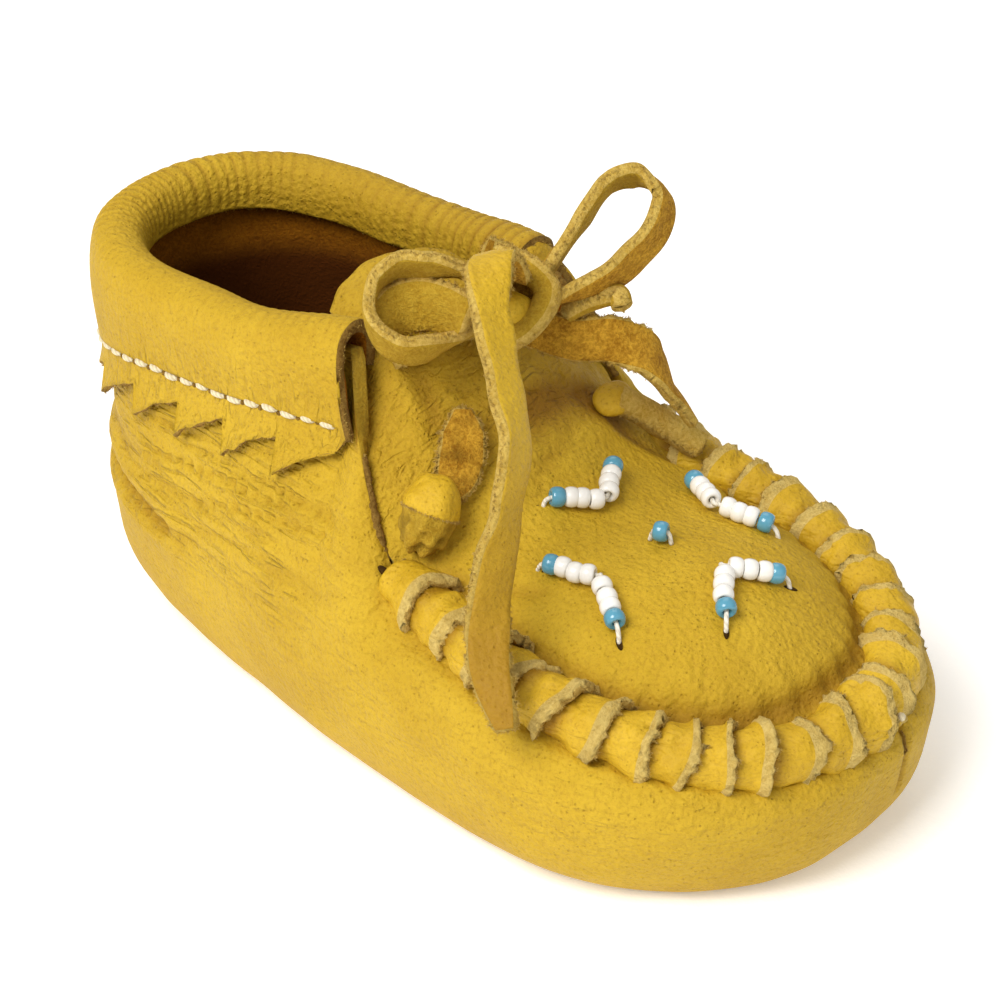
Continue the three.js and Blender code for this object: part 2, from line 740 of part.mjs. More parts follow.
const head = { at: [6.8, 13.5, 37.1], half: [2.1, 2.1, 2.1], way: [0, 0, 1] };
const headEnd = [
  { at: head.at, across: [0.7, -0.4, -0.5] },
  { at: [8.4, 15.7, 35.6], across: [0.7, -0.4, -0.5] },
  { at: [9.9, 18.5, 33.3], across: [0.7, -0.4, -0.5] },
  { at: [11.6, 20, 31.6], across: [0.7, -0.4, -0.5] },
];
const farHead = joined([lump(head.at, head.half, head.way), strip(headEnd, 8, 3.4, 2.4)]);
put("lacing_end_far", farHead, finishes.thong);

export default group;
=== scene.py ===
import bmesh
import bpy
import numpy as np
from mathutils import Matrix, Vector


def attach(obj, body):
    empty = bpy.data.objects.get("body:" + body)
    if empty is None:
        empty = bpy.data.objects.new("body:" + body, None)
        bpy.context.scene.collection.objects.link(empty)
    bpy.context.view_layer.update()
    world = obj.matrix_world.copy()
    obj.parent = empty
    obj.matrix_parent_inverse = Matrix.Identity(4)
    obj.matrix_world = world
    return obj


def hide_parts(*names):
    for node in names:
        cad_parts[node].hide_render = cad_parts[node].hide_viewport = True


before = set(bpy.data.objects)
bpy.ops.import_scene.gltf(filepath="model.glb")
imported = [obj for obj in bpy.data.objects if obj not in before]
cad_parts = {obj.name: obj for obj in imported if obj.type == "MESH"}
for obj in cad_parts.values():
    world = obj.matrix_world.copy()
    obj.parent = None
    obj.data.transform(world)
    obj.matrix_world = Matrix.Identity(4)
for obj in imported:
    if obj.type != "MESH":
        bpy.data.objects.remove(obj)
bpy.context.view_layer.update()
mm = 0.001
rng = np.random.default_rng(11)
print("frame loaded:", len(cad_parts), "nodes")


# camera, floor and light
view = {"aim": (2, 0, 25), "azimuth": 43.5, "elevation": 31.2, "distance": 356, "lens": 105.8, "sensor": 36}


def addObject(name, data):
    thing = bpy.data.objects.new(name, data)
    bpy.context.scene.collection.objects.link(thing)
    return thing


def setCamera():
    turn = np.radians(view["azimuth"])
    lift = np.radians(view["elevation"])
    back = Vector((np.sin(turn) * np.cos(lift), -np.cos(turn) * np.cos(lift), np.sin(lift)))
    data = bpy.data.cameras.new("camera")
    data.lens = view["lens"]
    data.sensor_width = view["sensor"]
    data.clip_start = 0.01
    camera = addObject("camera", data)
    camera.location = (Vector(view["aim"]) + back * view["distance"]) * mm
    camera.rotation_euler = (-back).to_track_quat("-Z", "Y").to_euler()
    bpy.context.scene.camera = camera


lamps = [
    {"name": "key", "at": (0.02, -0.72, 0.85), "size": 0.6, "power": 12.2, "tint": (1, 0.985, 0.96)},
    {"name": "fill", "at": (0.75, -0.1, 0.55), "size": 0.9, "power": 1.2, "tint": (0.97, 0.985, 1)},
    {"name": "rear", "at": (-0.5, 0.5, 0.9), "size": 0.8, "power": 2.6, "tint": (1, 1, 1)},
]
lampAim = (0, 0, 0.02)
studio = {"worldTint": (1, 0.93, 0.83), "worldPower": 0.38,
          "floorTint": (0.97, 0.97, 0.965), "floorHalf": 4, "floorGlow": 0.25}


def setLight():
    for lamp in lamps:
        data = bpy.data.lights.new(lamp["name"], "AREA")
        data.size = lamp["size"]
        data.energy = lamp["power"]
        data.color = lamp["tint"]
        light = addObject(lamp["name"], data)
        light.location = lamp["at"]
        light.rotation_euler = (Vector(lampAim) - light.location).to_track_quat("-Z", "Y").to_euler()
    world = bpy.context.scene.world or bpy.data.worlds.new("world")
    bpy.context.scene.world = world
    world.use_nodes = True
    sky = world.node_tree.nodes["Background"]
    sky.inputs["Color"].default_value = (*studio["worldTint"], 1)
    sky.inputs["Strength"].default_value = studio["worldPower"]
    bpy.context.scene.view_settings.view_transform = "Standard"


setCamera()
setLight()
print("camera and light set")


# shader maths: an expression on wires adds its Math nodes
class Wire:
    def __init__(self, finish, socket):
        self.finish = finish
        self.socket = socket

    def math(self, operation, first, second=0.0):
        return self.finish.add("ShaderNodeMath", {"operation": operation}, {0: first, 1: second})

    def __add__(self, other):
        return self.math("ADD", self, other)

    def __radd__(self, other):
        return self.math("ADD", other, self)

    def __sub__(self, other):
        return self.math("SUBTRACT", self, other)

    def __rsub__(self, other):
        return self.math("SUBTRACT", other, self)

    def __mul__(self, other):
        return self.math("MULTIPLY", self, other)

    def __rmul__(self, other):
        return self.math("MULTIPLY", other, self)

    def under(self, limit, soft):
        # one below the limit, nought above it, with a soft step
        return self.finish.add("ShaderNodeMapRange", {"interpolation_type": "SMOOTHSTEP"}, {
            "Value": self, "From Min": limit - soft, "From Max": limit + soft, "To Min": 1, "To Max": 0})


class Finish:
    def __init__(self, name, roughness=0.6, sheen=0.0, coat=0.0, specular=0.4):
        self.material = bpy.data.materials.new(name)
        self.material.use_nodes = True
        self.tree = self.material.node_tree
        self.shader = self.tree.nodes["Principled BSDF"]
        self.feed(Roughness=roughness, Sheen_Weight=sheen, Sheen_Roughness=0.5, Coat_Weight=coat,
                  Specular_IOR_Level=specular)

    def set(self, slot, value):
        if isinstance(value, Wire):
            self.tree.links.new(value.socket, slot)
        else:
            slot.default_value = value

    def add(self, kind, settings=None, sockets=None, out=0):
        node = self.tree.nodes.new(kind)
        for key, value in (settings or {}).items():
            setattr(node, key, value)
        for key, value in (sockets or {}).items():
            self.set(node.inputs[key], value)
        return Wire(self, node.outputs[out])

    def feed(self, **links):
        for key, value in links.items():
            self.set(self.shader.inputs[key.replace("_", " ")], value)

    def mix(self, share, first, second):
        tints = [v if isinstance(v, Wire) else (*v, 1) for v in (first, second)]
        return self.add("ShaderNodeMix", {"data_type": "RGBA"}, {0: share, 6: tints[0], 7: tints[1]}, 2)

    def mark(self, name):
        return self.add("ShaderNodeAttribute", {"attribute_name": name}, None, "Fac")

    def place(self):
        return self.add("ShaderNodeTexCoord", None, None, "Object")

    def noise(self, place, size, detail=3.0, roughness=0.55, distortion=0.0):
        return self.add("ShaderNodeTexNoise", None, {
            "Vector": place, "Scale": 1 / (size * mm), "Detail": detail,
            "Roughness": roughness, "Distortion": distortion})

    def cells(self, place, size, feature="F1", out="Distance"):
        return self.add("ShaderNodeTexVoronoi", {"feature": feature},
                        {"Vector": place, "Scale": 1 / (size * mm)}, out)

    def bump(self, height, distance):
        self.feed(Normal=self.add("ShaderNodeBump", None, {
            "Height": height, "Distance": distance * mm, "Strength": 1.0}))


def shaded(tint, share):
    return tuple(share * c for c in tint)


hideLook = {
    "light": (0.68, 0.45, 0.027), "mid": (0.53, 0.328, 0.013), "deep": (0.22, 0.088, 0.002),
    "broad": 15, "cloud": 2.6, "fine": 0.4, "pore": 0.62, "poreShare": 0.45, "pebble": 0.7,
    "fold": 1.4, "roughness": 0.5, "depth": 0.3,
}


def hideFinish(name, tone=1.0, drawn=(0.14, 0.4, 1.0), gloss=0.0):
    finish = Finish(name, roughness=0.55, specular=0.24)
    place = finish.place()
    broad = finish.noise(place, hideLook["broad"], 3)
    cloud = finish.noise(place, hideLook["cloud"], 4, 0.62)
    fine = finish.noise(place, hideLook["fine"], 5, 0.7)
    dents = finish.cells(place, hideLook["pore"])
    chosen = finish.cells(place, hideLook["pore"], out="Color")
    pick = finish.add("ShaderNodeSeparateColor", None, {0: chosen}).under(hideLook["poreShare"], 0.02)
    pore = dents.under(0.18, 0.1) * pick
    pebble = finish.cells(place, hideLook["pebble"], "SMOOTH_F1")
    stretched = finish.add("ShaderNodeVectorMath", {"operation": "MULTIPLY"}, {0: place, 1: drawn})
    folds = finish.noise(stretched, hideLook["fold"], 2, 0.45, 0.3)
    valley = folds.math("ABSOLUTE", folds - 0.5)
    wrinkle = valley.under(0.05, 0.05) * finish.mark("worn") * cloud.under(0.55, 0.15)
    light, mid = (shaded(hideLook[key], tone) for key in ("light", "mid"))
    base = finish.mix(broad.under(0.5, 0.2) * 0.5 + cloud * 0.45, light, mid)
    flecks = fine.under(0.44, 0.1) * 0.22 + pore * 0.2 + wrinkle * 0.16 + pebble * 0.12
    flecked = finish.mix(flecks, base, hideLook["deep"])
    # painted shade and tone: the mesh's mark darkens the colour toward the deep tone
    dark = finish.mix(finish.mark("paintedShadeAndTone"), flecked, hideLook["deep"])
    finish.feed(Base_Color=dark, Roughness=hideLook["roughness"] - gloss + fine * 0.2)
    relief = fine * 0.8 - pebble - pore * 0.4 + cloud * 0.5 - wrinkle * 1.1
    finish.bump(relief, hideLook["depth"] * (1 - 3 * gloss))
    return finish.material


suedeLook = {"nap": 0.42, "patch": 2.2, "roughness": 0.85, "depth": 0.6}


def suedeFinish(name, light, deep, sheen=0.02, low=None):
    finish = Finish(name, roughness=0.95, sheen=sheen, specular=0.08)
    place = finish.place()
    nap = finish.noise(place, suedeLook["nap"], 4, 0.7)
    patch = finish.noise(place, suedeLook["patch"], 4, 0.6, 0.6)
    tone = finish.mix(patch.under(0.5, 0.2) * 0.45 + nap.under(0.5, 0.12) * 0.5, light, deep)
    # an optional painted shade, darker below a height
    if low:
        height = finish.add("ShaderNodeSeparateXYZ", None, {0: place}, "Z")
        tone = finish.mix(height.under(low["z"] * mm, low["soft"] * mm), tone, low["tint"])
    # painted shade and tone from the mesh's mark
    dark = finish.mix(finish.mark("paintedShadeAndTone") * 0.8, tone, shaded(deep, 0.3))
    finish.feed(Base_Color=dark, Roughness=suedeLook["roughness"] + nap * 0.15)
    finish.bump(nap + patch * 0.3, suedeLook["depth"])
    return finish.material


def glassFinish(name, tint, deep):
    finish = Finish(name, roughness=0.16, coat=0.35, specular=0.5)
    cloud = finish.noise(finish.place(), 1.1, 2)
    finish.feed(Base_Color=finish.mix(cloud, tint, deep), Roughness=0.12 + cloud * 0.12)
    return finish.material


def threadFinish(name, light, deep):
    finish = Finish(name, roughness=0.7, sheen=0.3, specular=0.25)
    twist = finish.add("ShaderNodeTexWave", {"wave_type": "BANDS", "bands_direction": "DIAGONAL"},
                       {"Vector": finish.place(), "Scale": 900, "Distortion": 1.5}, "Fac")
    finish.feed(Base_Color=finish.mix(twist * 0.5, light, deep))
    finish.bump(twist, 0.08)
    return finish.material


def floorFinish():
    finish = Finish("pale floor", roughness=0.75, specular=0.2)
    grain = finish.noise(finish.place(), 2.5, 4, 0.6)
    tint = studio["floorTint"]
    finish.feed(Base_Color=finish.mix(grain * 0.3, tint, shaded(tint, 0.96)))
    finish.feed(Emission_Color=(*tint, 1), Emission_Strength=studio["floorGlow"])
    finish.bump(grain, 0.12)
    return finish.material


hideSkin = hideFinish("golden hide")
vampSkin = hideFinish("golden vamp", 1.0, (1.0, 0.3, 0.6))
cuffSkin = hideFinish("golden cuff", 1.0, (1.1, 1.1, 0.3))
thongSkin = hideFinish("golden thong", 1.1, gloss=0.14)
suedeSkin = suedeFinish("golden suede", (0.62, 0.405, 0.04), (0.43, 0.245, 0.015))
fleshSkin = suedeFinish("orange flesh side", (0.74, 0.42, 0.04), (0.3, 0.125, 0.006))
edgeSkin = suedeFinish("pale cut edge", (0.78, 0.56, 0.14), (0.54, 0.33, 0.045))
# a lighter copy of the cut edge for the lacing: painted light on edges the key lamp leaves in shade
paintedLitEdgeSkin = suedeFinish("cut edge with painted light", (0.85, 0.64, 0.21), (0.6, 0.4, 0.09))
tanEdgeSkin = suedeFinish("tan cut edge", (0.52, 0.33, 0.08), (0.27, 0.14, 0.025))
fuzzSkin = suedeFinish("pale fibres", (0.66, 0.45, 0.12), (0.5, 0.32, 0.07), 0.0)
brownEdgeSkin = suedeFinish("brown cut edge", (0.38, 0.23, 0.05), (0.17, 0.085, 0.014))
# painted shade deep in the shoe: the lining darkens below this height
liningShade = {"z": 37, "soft": 2.5, "tint": (0.085, 0.022, 0.002)}   # the inside darkens below this height
liningSkin = suedeFinish("brown lining", (0.42, 0.155, 0.008), (0.24, 0.078, 0.004), 0.0, liningShade)
# near black: painted shade inside the needle holes and the lacing's first hole
holeShadeSkin = suedeFinish("needle hole", (0.09, 0.045, 0.01), (0.04, 0.02, 0.004), 0.0)
whiteGlass = glassFinish("white glass", (0.9, 0.89, 0.86), (0.8, 0.79, 0.75))
blueGlass = glassFinish("blue glass", (0.12, 0.36, 0.5), (0.07, 0.27, 0.4))
threadSkin = threadFinish("white thread", (0.88, 0.85, 0.76), (0.6, 0.54, 0.4))
creamSkin = threadFinish("cream thread", (0.78, 0.69, 0.47), (0.48, 0.4, 0.22))
print("finishes made")


def layFloor():
    half = studio["floorHalf"]
    corners = [(-half, -half, 0), (half, -half, 0), (half, half, 0), (-half, half, 0)]
    mesh = bpy.data.meshes.new("floor")
    mesh.from_pydata(corners, [], [(0, 1, 2, 3)])
    mesh.materials.append(floorFinish())
    addObject("floor", mesh)


layFloor()


# numbers and lines
def unit(v):
    return v / np.maximum(np.linalg.norm(v, axis=-1, keepdims=True), 1e-9)


def mix(a, b, t):
    return a + (b - a) * t


def ramp(x, start, width):
    # from nought at the start to one a width further on; a width below nought runs the other way
    return np.clip((x - start) / width, 0, 1)


def bell(x, at, width):
    return np.exp(-(((x - at) / width) ** 2))


def circle(count):
    return np.linspace(0, 2 * np.pi, count, endpoint=False)


def squareTo(way, hint):
    # two ways at right angles to a line
    first = unit(np.cross(way, hint))
    return first, np.cross(way, first)


def lengthAlong(line):
    return np.concatenate([[0], np.cumsum(np.linalg.norm(np.diff(line, axis=0), axis=1))])


def readOff(at, places, rows):
    # rows read off between their places
    return np.stack([np.interp(at, places, column) for column in rows.T], -1)


def hermite(t, span, start, end, startSlope, endSlope):
    first = (2 * t**3 - 3 * t**2 + 1) * start + (t**3 - 2 * t**2 + t) * span * startSlope
    return first + (3 * t**2 - 2 * t**3) * end + (t**3 - t**2) * span * endSlope


def table(keys, *rows):
    return [dict(zip(keys, row)) for row in rows]


def lookUp(rows, column, x):
    # a smooth value from a table with its rows in order of x
    xs, vs = (np.array([row[key] for row in rows], float) for key in ("x", column))
    slope = np.empty_like(vs)
    slope[1:-1] = (vs[2:] - vs[:-2]) / (xs[2:] - xs[:-2])
    slope[0] = (vs[1] - vs[0]) / (xs[1] - xs[0])
    slope[-1] = (vs[-1] - vs[-2]) / (xs[-1] - xs[-2])
    x = np.asarray(x, float)
    i = np.clip(np.searchsorted(xs, x, "right") - 1, 0, len(xs) - 2)
    width = xs[i + 1] - xs[i]
    return hermite(ramp(x, xs[i], width), width, vs[i], vs[i + 1], slope[i], slope[i + 1])


def roundEnd(t, power):
    return np.maximum(0, 1 - np.clip(t, 0, 1) ** power) ** (1 / power)


def smoothLine(points, count):
    # an even line through given points, and the row each step lies at
    points = np.asarray(points, float)
    gaps = np.sqrt(np.linalg.norm(np.diff(points, axis=0), axis=1))
    knots = np.concatenate([[0], np.cumsum(gaps)])
    steps = np.diff(points, axis=0) / gaps[:, None]
    lead, lag = gaps[1:, None], gaps[:-1, None]
    inner = (steps[1:] * lag + steps[:-1] * lead) / (lead + lag)
    slope = np.concatenate([steps[:1], inner, steps[-1:]])
    fine = np.linspace(0, knots[-1], 30 * len(points))
    i = np.clip(np.searchsorted(knots, fine, "right") - 1, 0, len(points) - 2)
    t = ((fine - knots[i]) / gaps[i])[:, None]
    line = hermite(t, gaps[i][:, None], points[i], points[i + 1], slope[i], slope[i + 1])
    along = lengthAlong(line)
    want = np.linspace(0, along[-1], count)
    return readOff(want, along, line), np.interp(want, along, i + t[:, 0])


def gridNormals(grid):
    # for a grid whose columns close on themselves
    across = np.roll(grid, -1, 1) - np.roll(grid, 1, 1)
    return unit(np.cross(across, np.gradient(grid, axis=0)))


def ripple(points, size, seed, waves=14):
    # smooth uneven swell, about -1 to 1
    dice = np.random.default_rng(seed)
    total = 0
    for wave in range(waves):
        way = unit(dice.normal(size=3)) * (2 * np.pi / size) * dice.uniform(0.6, 1.5)
        total = total + np.sin(points @ way + dice.uniform(0, 2 * np.pi))
    return total / np.sqrt(waves)


fuzzRows = []   # cut edges that get fibres: points, ways out and fibres a millimetre


# a mesh made of grids that share points
class Piece:
    def __init__(self, name):
        self.name = name
        self.points = []
        self.faces = []
        self.finishes = []
        self.finishOf = []
        # the paintedShadeAndTone mark darkens a point's colour: painted shade in creases, hollows and under
        # parts, with some tone
        self.marks = {"paintedShadeAndTone": [], "worn": []}
        self.count = 0

    def put(self, points, paintedShadeAndTone=0.0, worn=0.0):
        points = np.asarray(points, float)
        flat = points.reshape(-1, 3)
        ids = self.count + np.arange(len(flat)).reshape(points.shape[:-1])
        self.points.append(flat)
        for name, value in (("paintedShadeAndTone", paintedShadeAndTone), ("worn", worn)):
            self.marks[name].append(np.broadcast_to(value, points.shape[:-1]).reshape(-1))
        self.count += len(flat)
        return ids

    def add(self, faces, finish):
        if finish not in self.finishes:
            self.finishes.append(finish)
        self.faces += faces.tolist()
        self.finishOf += [self.finishes.index(finish)] * len(faces)

    def quads(self, ids, finish, closed=False):
        if closed:
            ids = np.concatenate([ids, ids[:, :1]], 1)
        corners = ids[:-1, :-1], ids[:-1, 1:], ids[1:, 1:], ids[1:, :-1]
        self.add(np.stack(corners, -1).reshape(-1, 4), finish)

    def fan(self, ring, point, finish):
        pole = self.put(np.asarray(point, float)[None])[0]
        self.add(np.stack([ring, np.roll(ring, -1), np.full(len(ring), pole)], -1), finish)

    def sheet(self, face, back, finishes, bulge=0.3, rough=0.1, paintedShadeAndTone=0.0, worn=0.0, fuzz=0.0, border=0):
        # a closed sheet: face, back, and a rounded cut edge all round
        onFace, onBack, onEdge = finishes
        front = self.put(face, paintedShadeAndTone, worn)
        rear = self.put(back, paintedShadeAndTone)
        inside = front.shape[1] - border
        self.quads(front[:, :inside], onFace)
        self.quads(front[:, inside - 1:], onEdge)
        self.quads(rear, onBack)

        def rim(grid):
            return np.concatenate([grid[0, :-1], grid[:-1, -1], grid[-1, :0:-1], grid[:0:-1, 0]])

        middle = (face + back) / 2
        out = np.zeros_like(middle)
        out[0] += middle[0] - middle[1]
        out[-1] += middle[-1] - middle[-2]
        out[:, 0] += unit(middle[:, 0] - middle[:, 1])
        out[:, -1] += unit(middle[:, -1] - middle[:, -2])
        away = unit(rim(out))
        edge = rim(middle) + away * bulge + rng.normal(0, rough, (len(away), 3))
        if fuzz:
            fuzzRows.append((edge, away, fuzz))
        edgeIds = self.put(edge)
        self.quads(np.stack([rim(front), edgeIds]), onEdge, True)
        self.quads(np.stack([edgeIds, rim(rear)]), onEdge, True)

    def make(self, slot, *nodes, smooth=True):
        mesh = bpy.data.meshes.new(self.name)
        mesh.from_pydata((np.concatenate(self.points) * mm).tolist(), [], self.faces)
        for finish in self.finishes:
            mesh.materials.append(finish)
        mesh.polygons.foreach_set("material_index", self.finishOf)
        mesh.polygons.foreach_set("use_smooth", [smooth] * len(mesh.polygons))
        for name, values in self.marks.items():
            mark = mesh.attributes.new(name, "FLOAT", "POINT")
            mark.data.foreach_set("value", np.concatenate(values).astype(np.float32))
        shape = bmesh.new()
        shape.from_mesh(mesh)
        bmesh.ops.recalc_face_normals(shape, faces=shape.faces)
        shape.to_mesh(mesh)
        shape.free()
        piece = addObject(self.name, mesh)
        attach(piece, "root")
        if nodes:
            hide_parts(*nodes)
        print("made", self.name, len(mesh.polygons), "faces")
        return piece


# the tie: flat thongs along given rows, each with a point and the way its width runs
bow = {"out": (0.59, -0.62, 0.52), "right": (0.73, 0.69, 0), "up": (-0.36, 0.38, 0.86),
       "width": 4.8, "thick": 1.4, "bulge": 0.3, "rough": 0.14, "fibres": 18, "worn": 0.25}
loopWay = {"near": (0.38, -0.4, 0.83), "far": (0.13, -0.7, 0.7), "edgeOn": (0.42, -0.68, 0.6)}
ringLook = {"at": (0.8, -13, 55.7), "radius": 4.9, "degrees": (70, 110, 150, 190, 230, 270)}
nearEnd = [
    ((2.6, 1, 55.5), (0.5, 0.6, -0.5)),
    ((4.8, -3.8, 60), (0.55, 0.74, 0.1)),
    ((8, -8.4, 59.4), (0.3, 0.88, -0.2)),
    ((12.6, -12, 56), (0.05, 0.9, -0.4)),
    ((17.9, -15.5, 51.4), (-0.1, 0.9, -0.4)),
    ((21.9, -18.6, 47.9), (-0.2, 0.87, -0.45)),
    ((24.2, -22.6, 42.1), (-0.1, 0.87, -0.45)),
    ((26.2, -27.2, 34.3), (0.35, 0.85, -0.35)),
    ((29.5, -30.8, 28.4), (0.75, 0.55, -0.1)),
    ((32.8, -33.2, 23.2), (0.9, 0.35, 0)),
]
farEnd = [
    ((-0.4, 0.6, 49.4), (-0.3, 0, 1)),
    ((4.2, 4.9, 47.3), (-0.3, 0, 1)),
    ((7.4, 7, 46.4), (-0.3, 0, 1)),
    ((11, 10.4, 46.2), (-0.3, 0.2, 1)),
    ((13.8, 13.8, 43.4), (-0.5, 0.6, 0.5)),
    ((14.2, 16.4, 38.8), (-0.62, 0.62, -0.2)),
    ((15, 19, 34.4), (-0.6, 0.62, -0.4)),
]


def alike(way, *points):
    # rows whose widths all run one way
    return [(point, way) for point in points]


def bowPlace(right, up, out=0.0):
    # a place in the bow's own lengths, from the near loop's middle
    ways = (np.array(bow[key]) for key in ("right", "up", "out"))
    return np.array(ringLook["at"]) + sum(way * reach for way, reach in zip(ways, (right, up, out)))


ringTurns = np.radians(ringLook["degrees"])
loopRing = [bowPlace(ringLook["radius"] * np.cos(t), ringLook["radius"] * np.sin(t)) for t in ringTurns]
nearLoop = [
    *alike(bow["out"], (1.7, -1, 54), (2.2, -6.4, 58.2)),
    *alike(loopWay["near"], *loopRing),
    *alike(bow["out"], (3.4, -10, 51.2), (2.6, -2.1, 50.7)),
]
farLoop = [
    *alike(bow["out"], (3.9, 5.5, 54)),
    *alike(loopWay["edgeOn"], (5.3, 10.4, 60.1), (6.1, 14, 63.6)),
    *alike(loopWay["far"], (8.3, 16.9, 64.4), (11.1, 17.8, 62.3), (12, 16.3, 59.6), (11.4, 13.4, 56.8),
           (9.3, 8.8, 53.4)),
    *alike(bow["out"], (5.4, 4.7, 51.6)),
]


def thongGrids(rows, steps, width, thick, swell=0.12, tip=0.0, columns=9):
    # face and back of a flat thong, and its middle line; a tip slants the end to one side
    line, place = smoothLine([row[0] for row in rows], steps)
    index = np.arange(len(rows))
    across = readOff(place, index, unit(np.array([row[1] for row in rows], float)))
    along = unit(np.gradient(line, axis=0))
    normal = unit(np.cross(along, across))
    wide = unit(np.cross(normal, along))
    share = np.linspace(-0.5, 0.5, columns)
    spread = np.interp(place, index, np.broadcast_to(width, len(rows))) * (1 + 0.05 * ripple(line, 9, 5))
    trim = tip * ramp(np.arange(steps) / steps, 0.86, 0.14)[:, None] ** 1.5
    offset = (share[None] * (1 - trim) + 0.5 * trim) * spread[:, None]
    grid = line[:, None] + wide[:, None] * offset[..., None]
    grid = grid + normal[:, None] * (0.12 * ripple(grid, 5, 8))[..., None]
    lift = normal[:, None] * (thick / 2 + swell * (1 - (2 * share) ** 2))[None, :, None]
    return grid + lift, grid - lift, line


def tieThong(name, node, rows, steps, finishes, tip=0.0, shade=0.0):
    face, back, line = thongGrids(rows, steps, bow["width"], bow["thick"], tip=tip)
    low = shade * ramp(np.arange(steps) / steps, 0.5, 0.35)[:, None]   # darker toward the end
    piece = Piece(name)
    piece.sheet(face, back, finishes, bow["bulge"], bow["rough"], low, bow["worn"], bow["fibres"])
    made = piece.make("thong", node)
    length = lengthAlong(line)[-1] * mm
    tuple(line[0] * mm)
    (line * mm).tolist()


tieThong("tieEndNear", "tie_end_near", nearEnd, 200, (thongSkin, fleshSkin, edgeSkin),
         0.6, 0.65)
tieThong("tieEndFar", "tie_end_far", farEnd, 90, (fleshSkin, thongSkin, edgeSkin))
tieThong("tieLoopNear", "tie_loop_near", nearLoop, 130, (suedeSkin, suedeSkin, edgeSkin))
tieThong("tieLoopFar", "tie_loop_far", farLoop, 130, (suedeSkin, fleshSkin, edgeSkin))
print("tie made")


# the last: the same sizes as the solids, in millimetres
sole = {"heel": -56.8, "toe": 60, "heelHalf": 23.6, "ballHalf": 31.2, "heelX": -36, "ballX": 24,
        "round": 2.2, "heelRound": 2.5}
turnUnder = table(("x", "z", "inset"), (0, 0, 7.2), (1, 1, 4.5), (2, 3.8, 2.1), (3, 8, 0.6), (4, 13, 0))
seam = {"throatX": 7.5, "throatHalf": 22.8, "wideX": 27, "half": 24.7, "toe": 56, "toeZ": 16.8, "rise": 0.19,
        "round": 2.2}
quarter = {"backX": -1, "frontX": 9.5, "edge": [(-2.6, 19.2, 42.2), (1.6, 21.4, 34.4)]}
collar = {"heel": -57.2, "front": -6.5, "frontHalf": 16, "half": 18.8, "wideX": -24, "roundX": -37,
          "round": 2.3, "wallDrop": 3.4}
collarLine = table(
    ("x", "top", "stitch"), (-57.2, 50.2, 33.5), (-45, 49.2, 36.4), (-24, 49.6, 38.8), (-6.5, 52, 40.6))
spine = table(
    ("x", "z"), (-18, 53.4), (-13, 53), (-9, 51.6), (-5, 49.2), (1, 44.2), (7.5, 37.6), (13, 33.2),
    (20, 30.7), (27, 30), (36, 29.4), (44, 26.8), (50, 22.8), (54, 18.6))
plug = {"inset": 2, "toeInset": 2.4, "lift": 0.8, "crown": 2.2}
tongue = table(
    ("x", "half", "edgeZ"), (-18, 10, 48.2), (-13, 11.2, 48.2), (-10, 11.8, 46.4), (-6.5, 12.8, 43.4),
    (-3, 16.2, 39.2), (0, 18.2, 35.2), (4, 19.7, 30.2), (7.5, 20.8, 26.815))
tongueEnd = {"near": -18.4, "far": -10, "corner": 2.6}
upward = np.array([0, 0, 1.0])


def grown(x, start, width):
    return np.sin(np.pi / 2 * ramp(x, start, width))


def soleHalf(x, inset):
    grow = np.sin(np.pi / 2 * np.minimum(1, (x - sole["heelX"]) / (sole["ballX"] - sole["heelX"])))
    base = mix(sole["heelHalf"], sole["ballHalf"], grow) - 0.9 * inset
    heel = roundEnd((sole["heelX"] + inset - x) / (sole["heelX"] - sole["heel"]), sole["heelRound"])
    return base * heel * roundEnd((x - sole["ballX"]) / (sole["toe"] - inset - sole["ballX"]), sole["round"])


def seamHalf(x, inset=0.0, toeInset=0.0):
    grow = grown(x, seam["throatX"], seam["wideX"] - seam["throatX"])
    base = mix(seam["throatHalf"], seam["half"], grow) - inset
    return base * roundEnd((x - seam["wideX"]) / (seam["toe"] - toeInset - seam["wideX"]), seam["round"])


def seamZ(x):
    return seam["toeZ"] + seam["rise"] * (seam["toe"] - x)


def collarHalf(x):
    share = grown(x, collar["front"], collar["wideX"] - collar["front"])
    base = mix(collar["frontHalf"], collar["half"], share)
    return base * roundEnd((collar["roundX"] - x) / (collar["roundX"] - collar["heel"]), collar["round"])


def collarPoint(x):
    return np.stack([x, collarHalf(x), lookUp(collarLine, "top", x) - collar["wallDrop"]], -1)


throatCorner = np.array([seam["throatX"], seam["throatHalf"], seamZ(seam["throatX"])])
quarterPoints = [collarPoint(np.array(collar["front"])), *quarter["edge"], throatCorner]
quarterLine, quarterPlace = smoothLine(quarterPoints, 60)


# a column of the wrap: 0 to 1 runs round the heel, 1 to 2 up the slanted edge, 2 to 3 along the seam
def columnsAt(run):
    run = np.asarray(run, float)
    back = 1 - np.cos(np.clip(run, 0, 1) * np.pi / 2)
    edge = np.clip(run - 1, 0, 1)
    front = grown(run, 2, 1)
    slanted = mix(quarter["backX"], quarter["frontX"], edge)
    x = np.where(run <= 1, mix(sole["heel"], quarter["backX"], back), slanted)
    x = np.where(run > 2, mix(quarter["frontX"], sole["toe"], front), x)
    seamX = mix(seam["throatX"], seam["toe"], front)
    onSeam = np.stack([seamX, seamHalf(seamX), seamZ(seamX)], -1)
    onEdge = readOff(edge * 3, quarterPlace, quarterLine)
    onCollar = collarPoint(mix(collar["heel"], collar["front"], back))
    top = np.where((run <= 1)[..., None], onCollar, np.where((run <= 2)[..., None], onEdge, onSeam))
    return x, top, edge


def topAt(run):
    return columnsAt(run)[1]


def stitchHeight(run):
    return lookUp(collarLine, "stitch", topAt(run)[:, 0])


def levelPoints(x, z, inset):
    along = (x - sole["heel"]) / (sole["toe"] - sole["heel"])
    at = mix(sole["heel"] + inset, sole["toe"] - inset, along)
    return np.stack([at, soleHalf(at, inset), np.broadcast_to(z, at.shape)], -1)


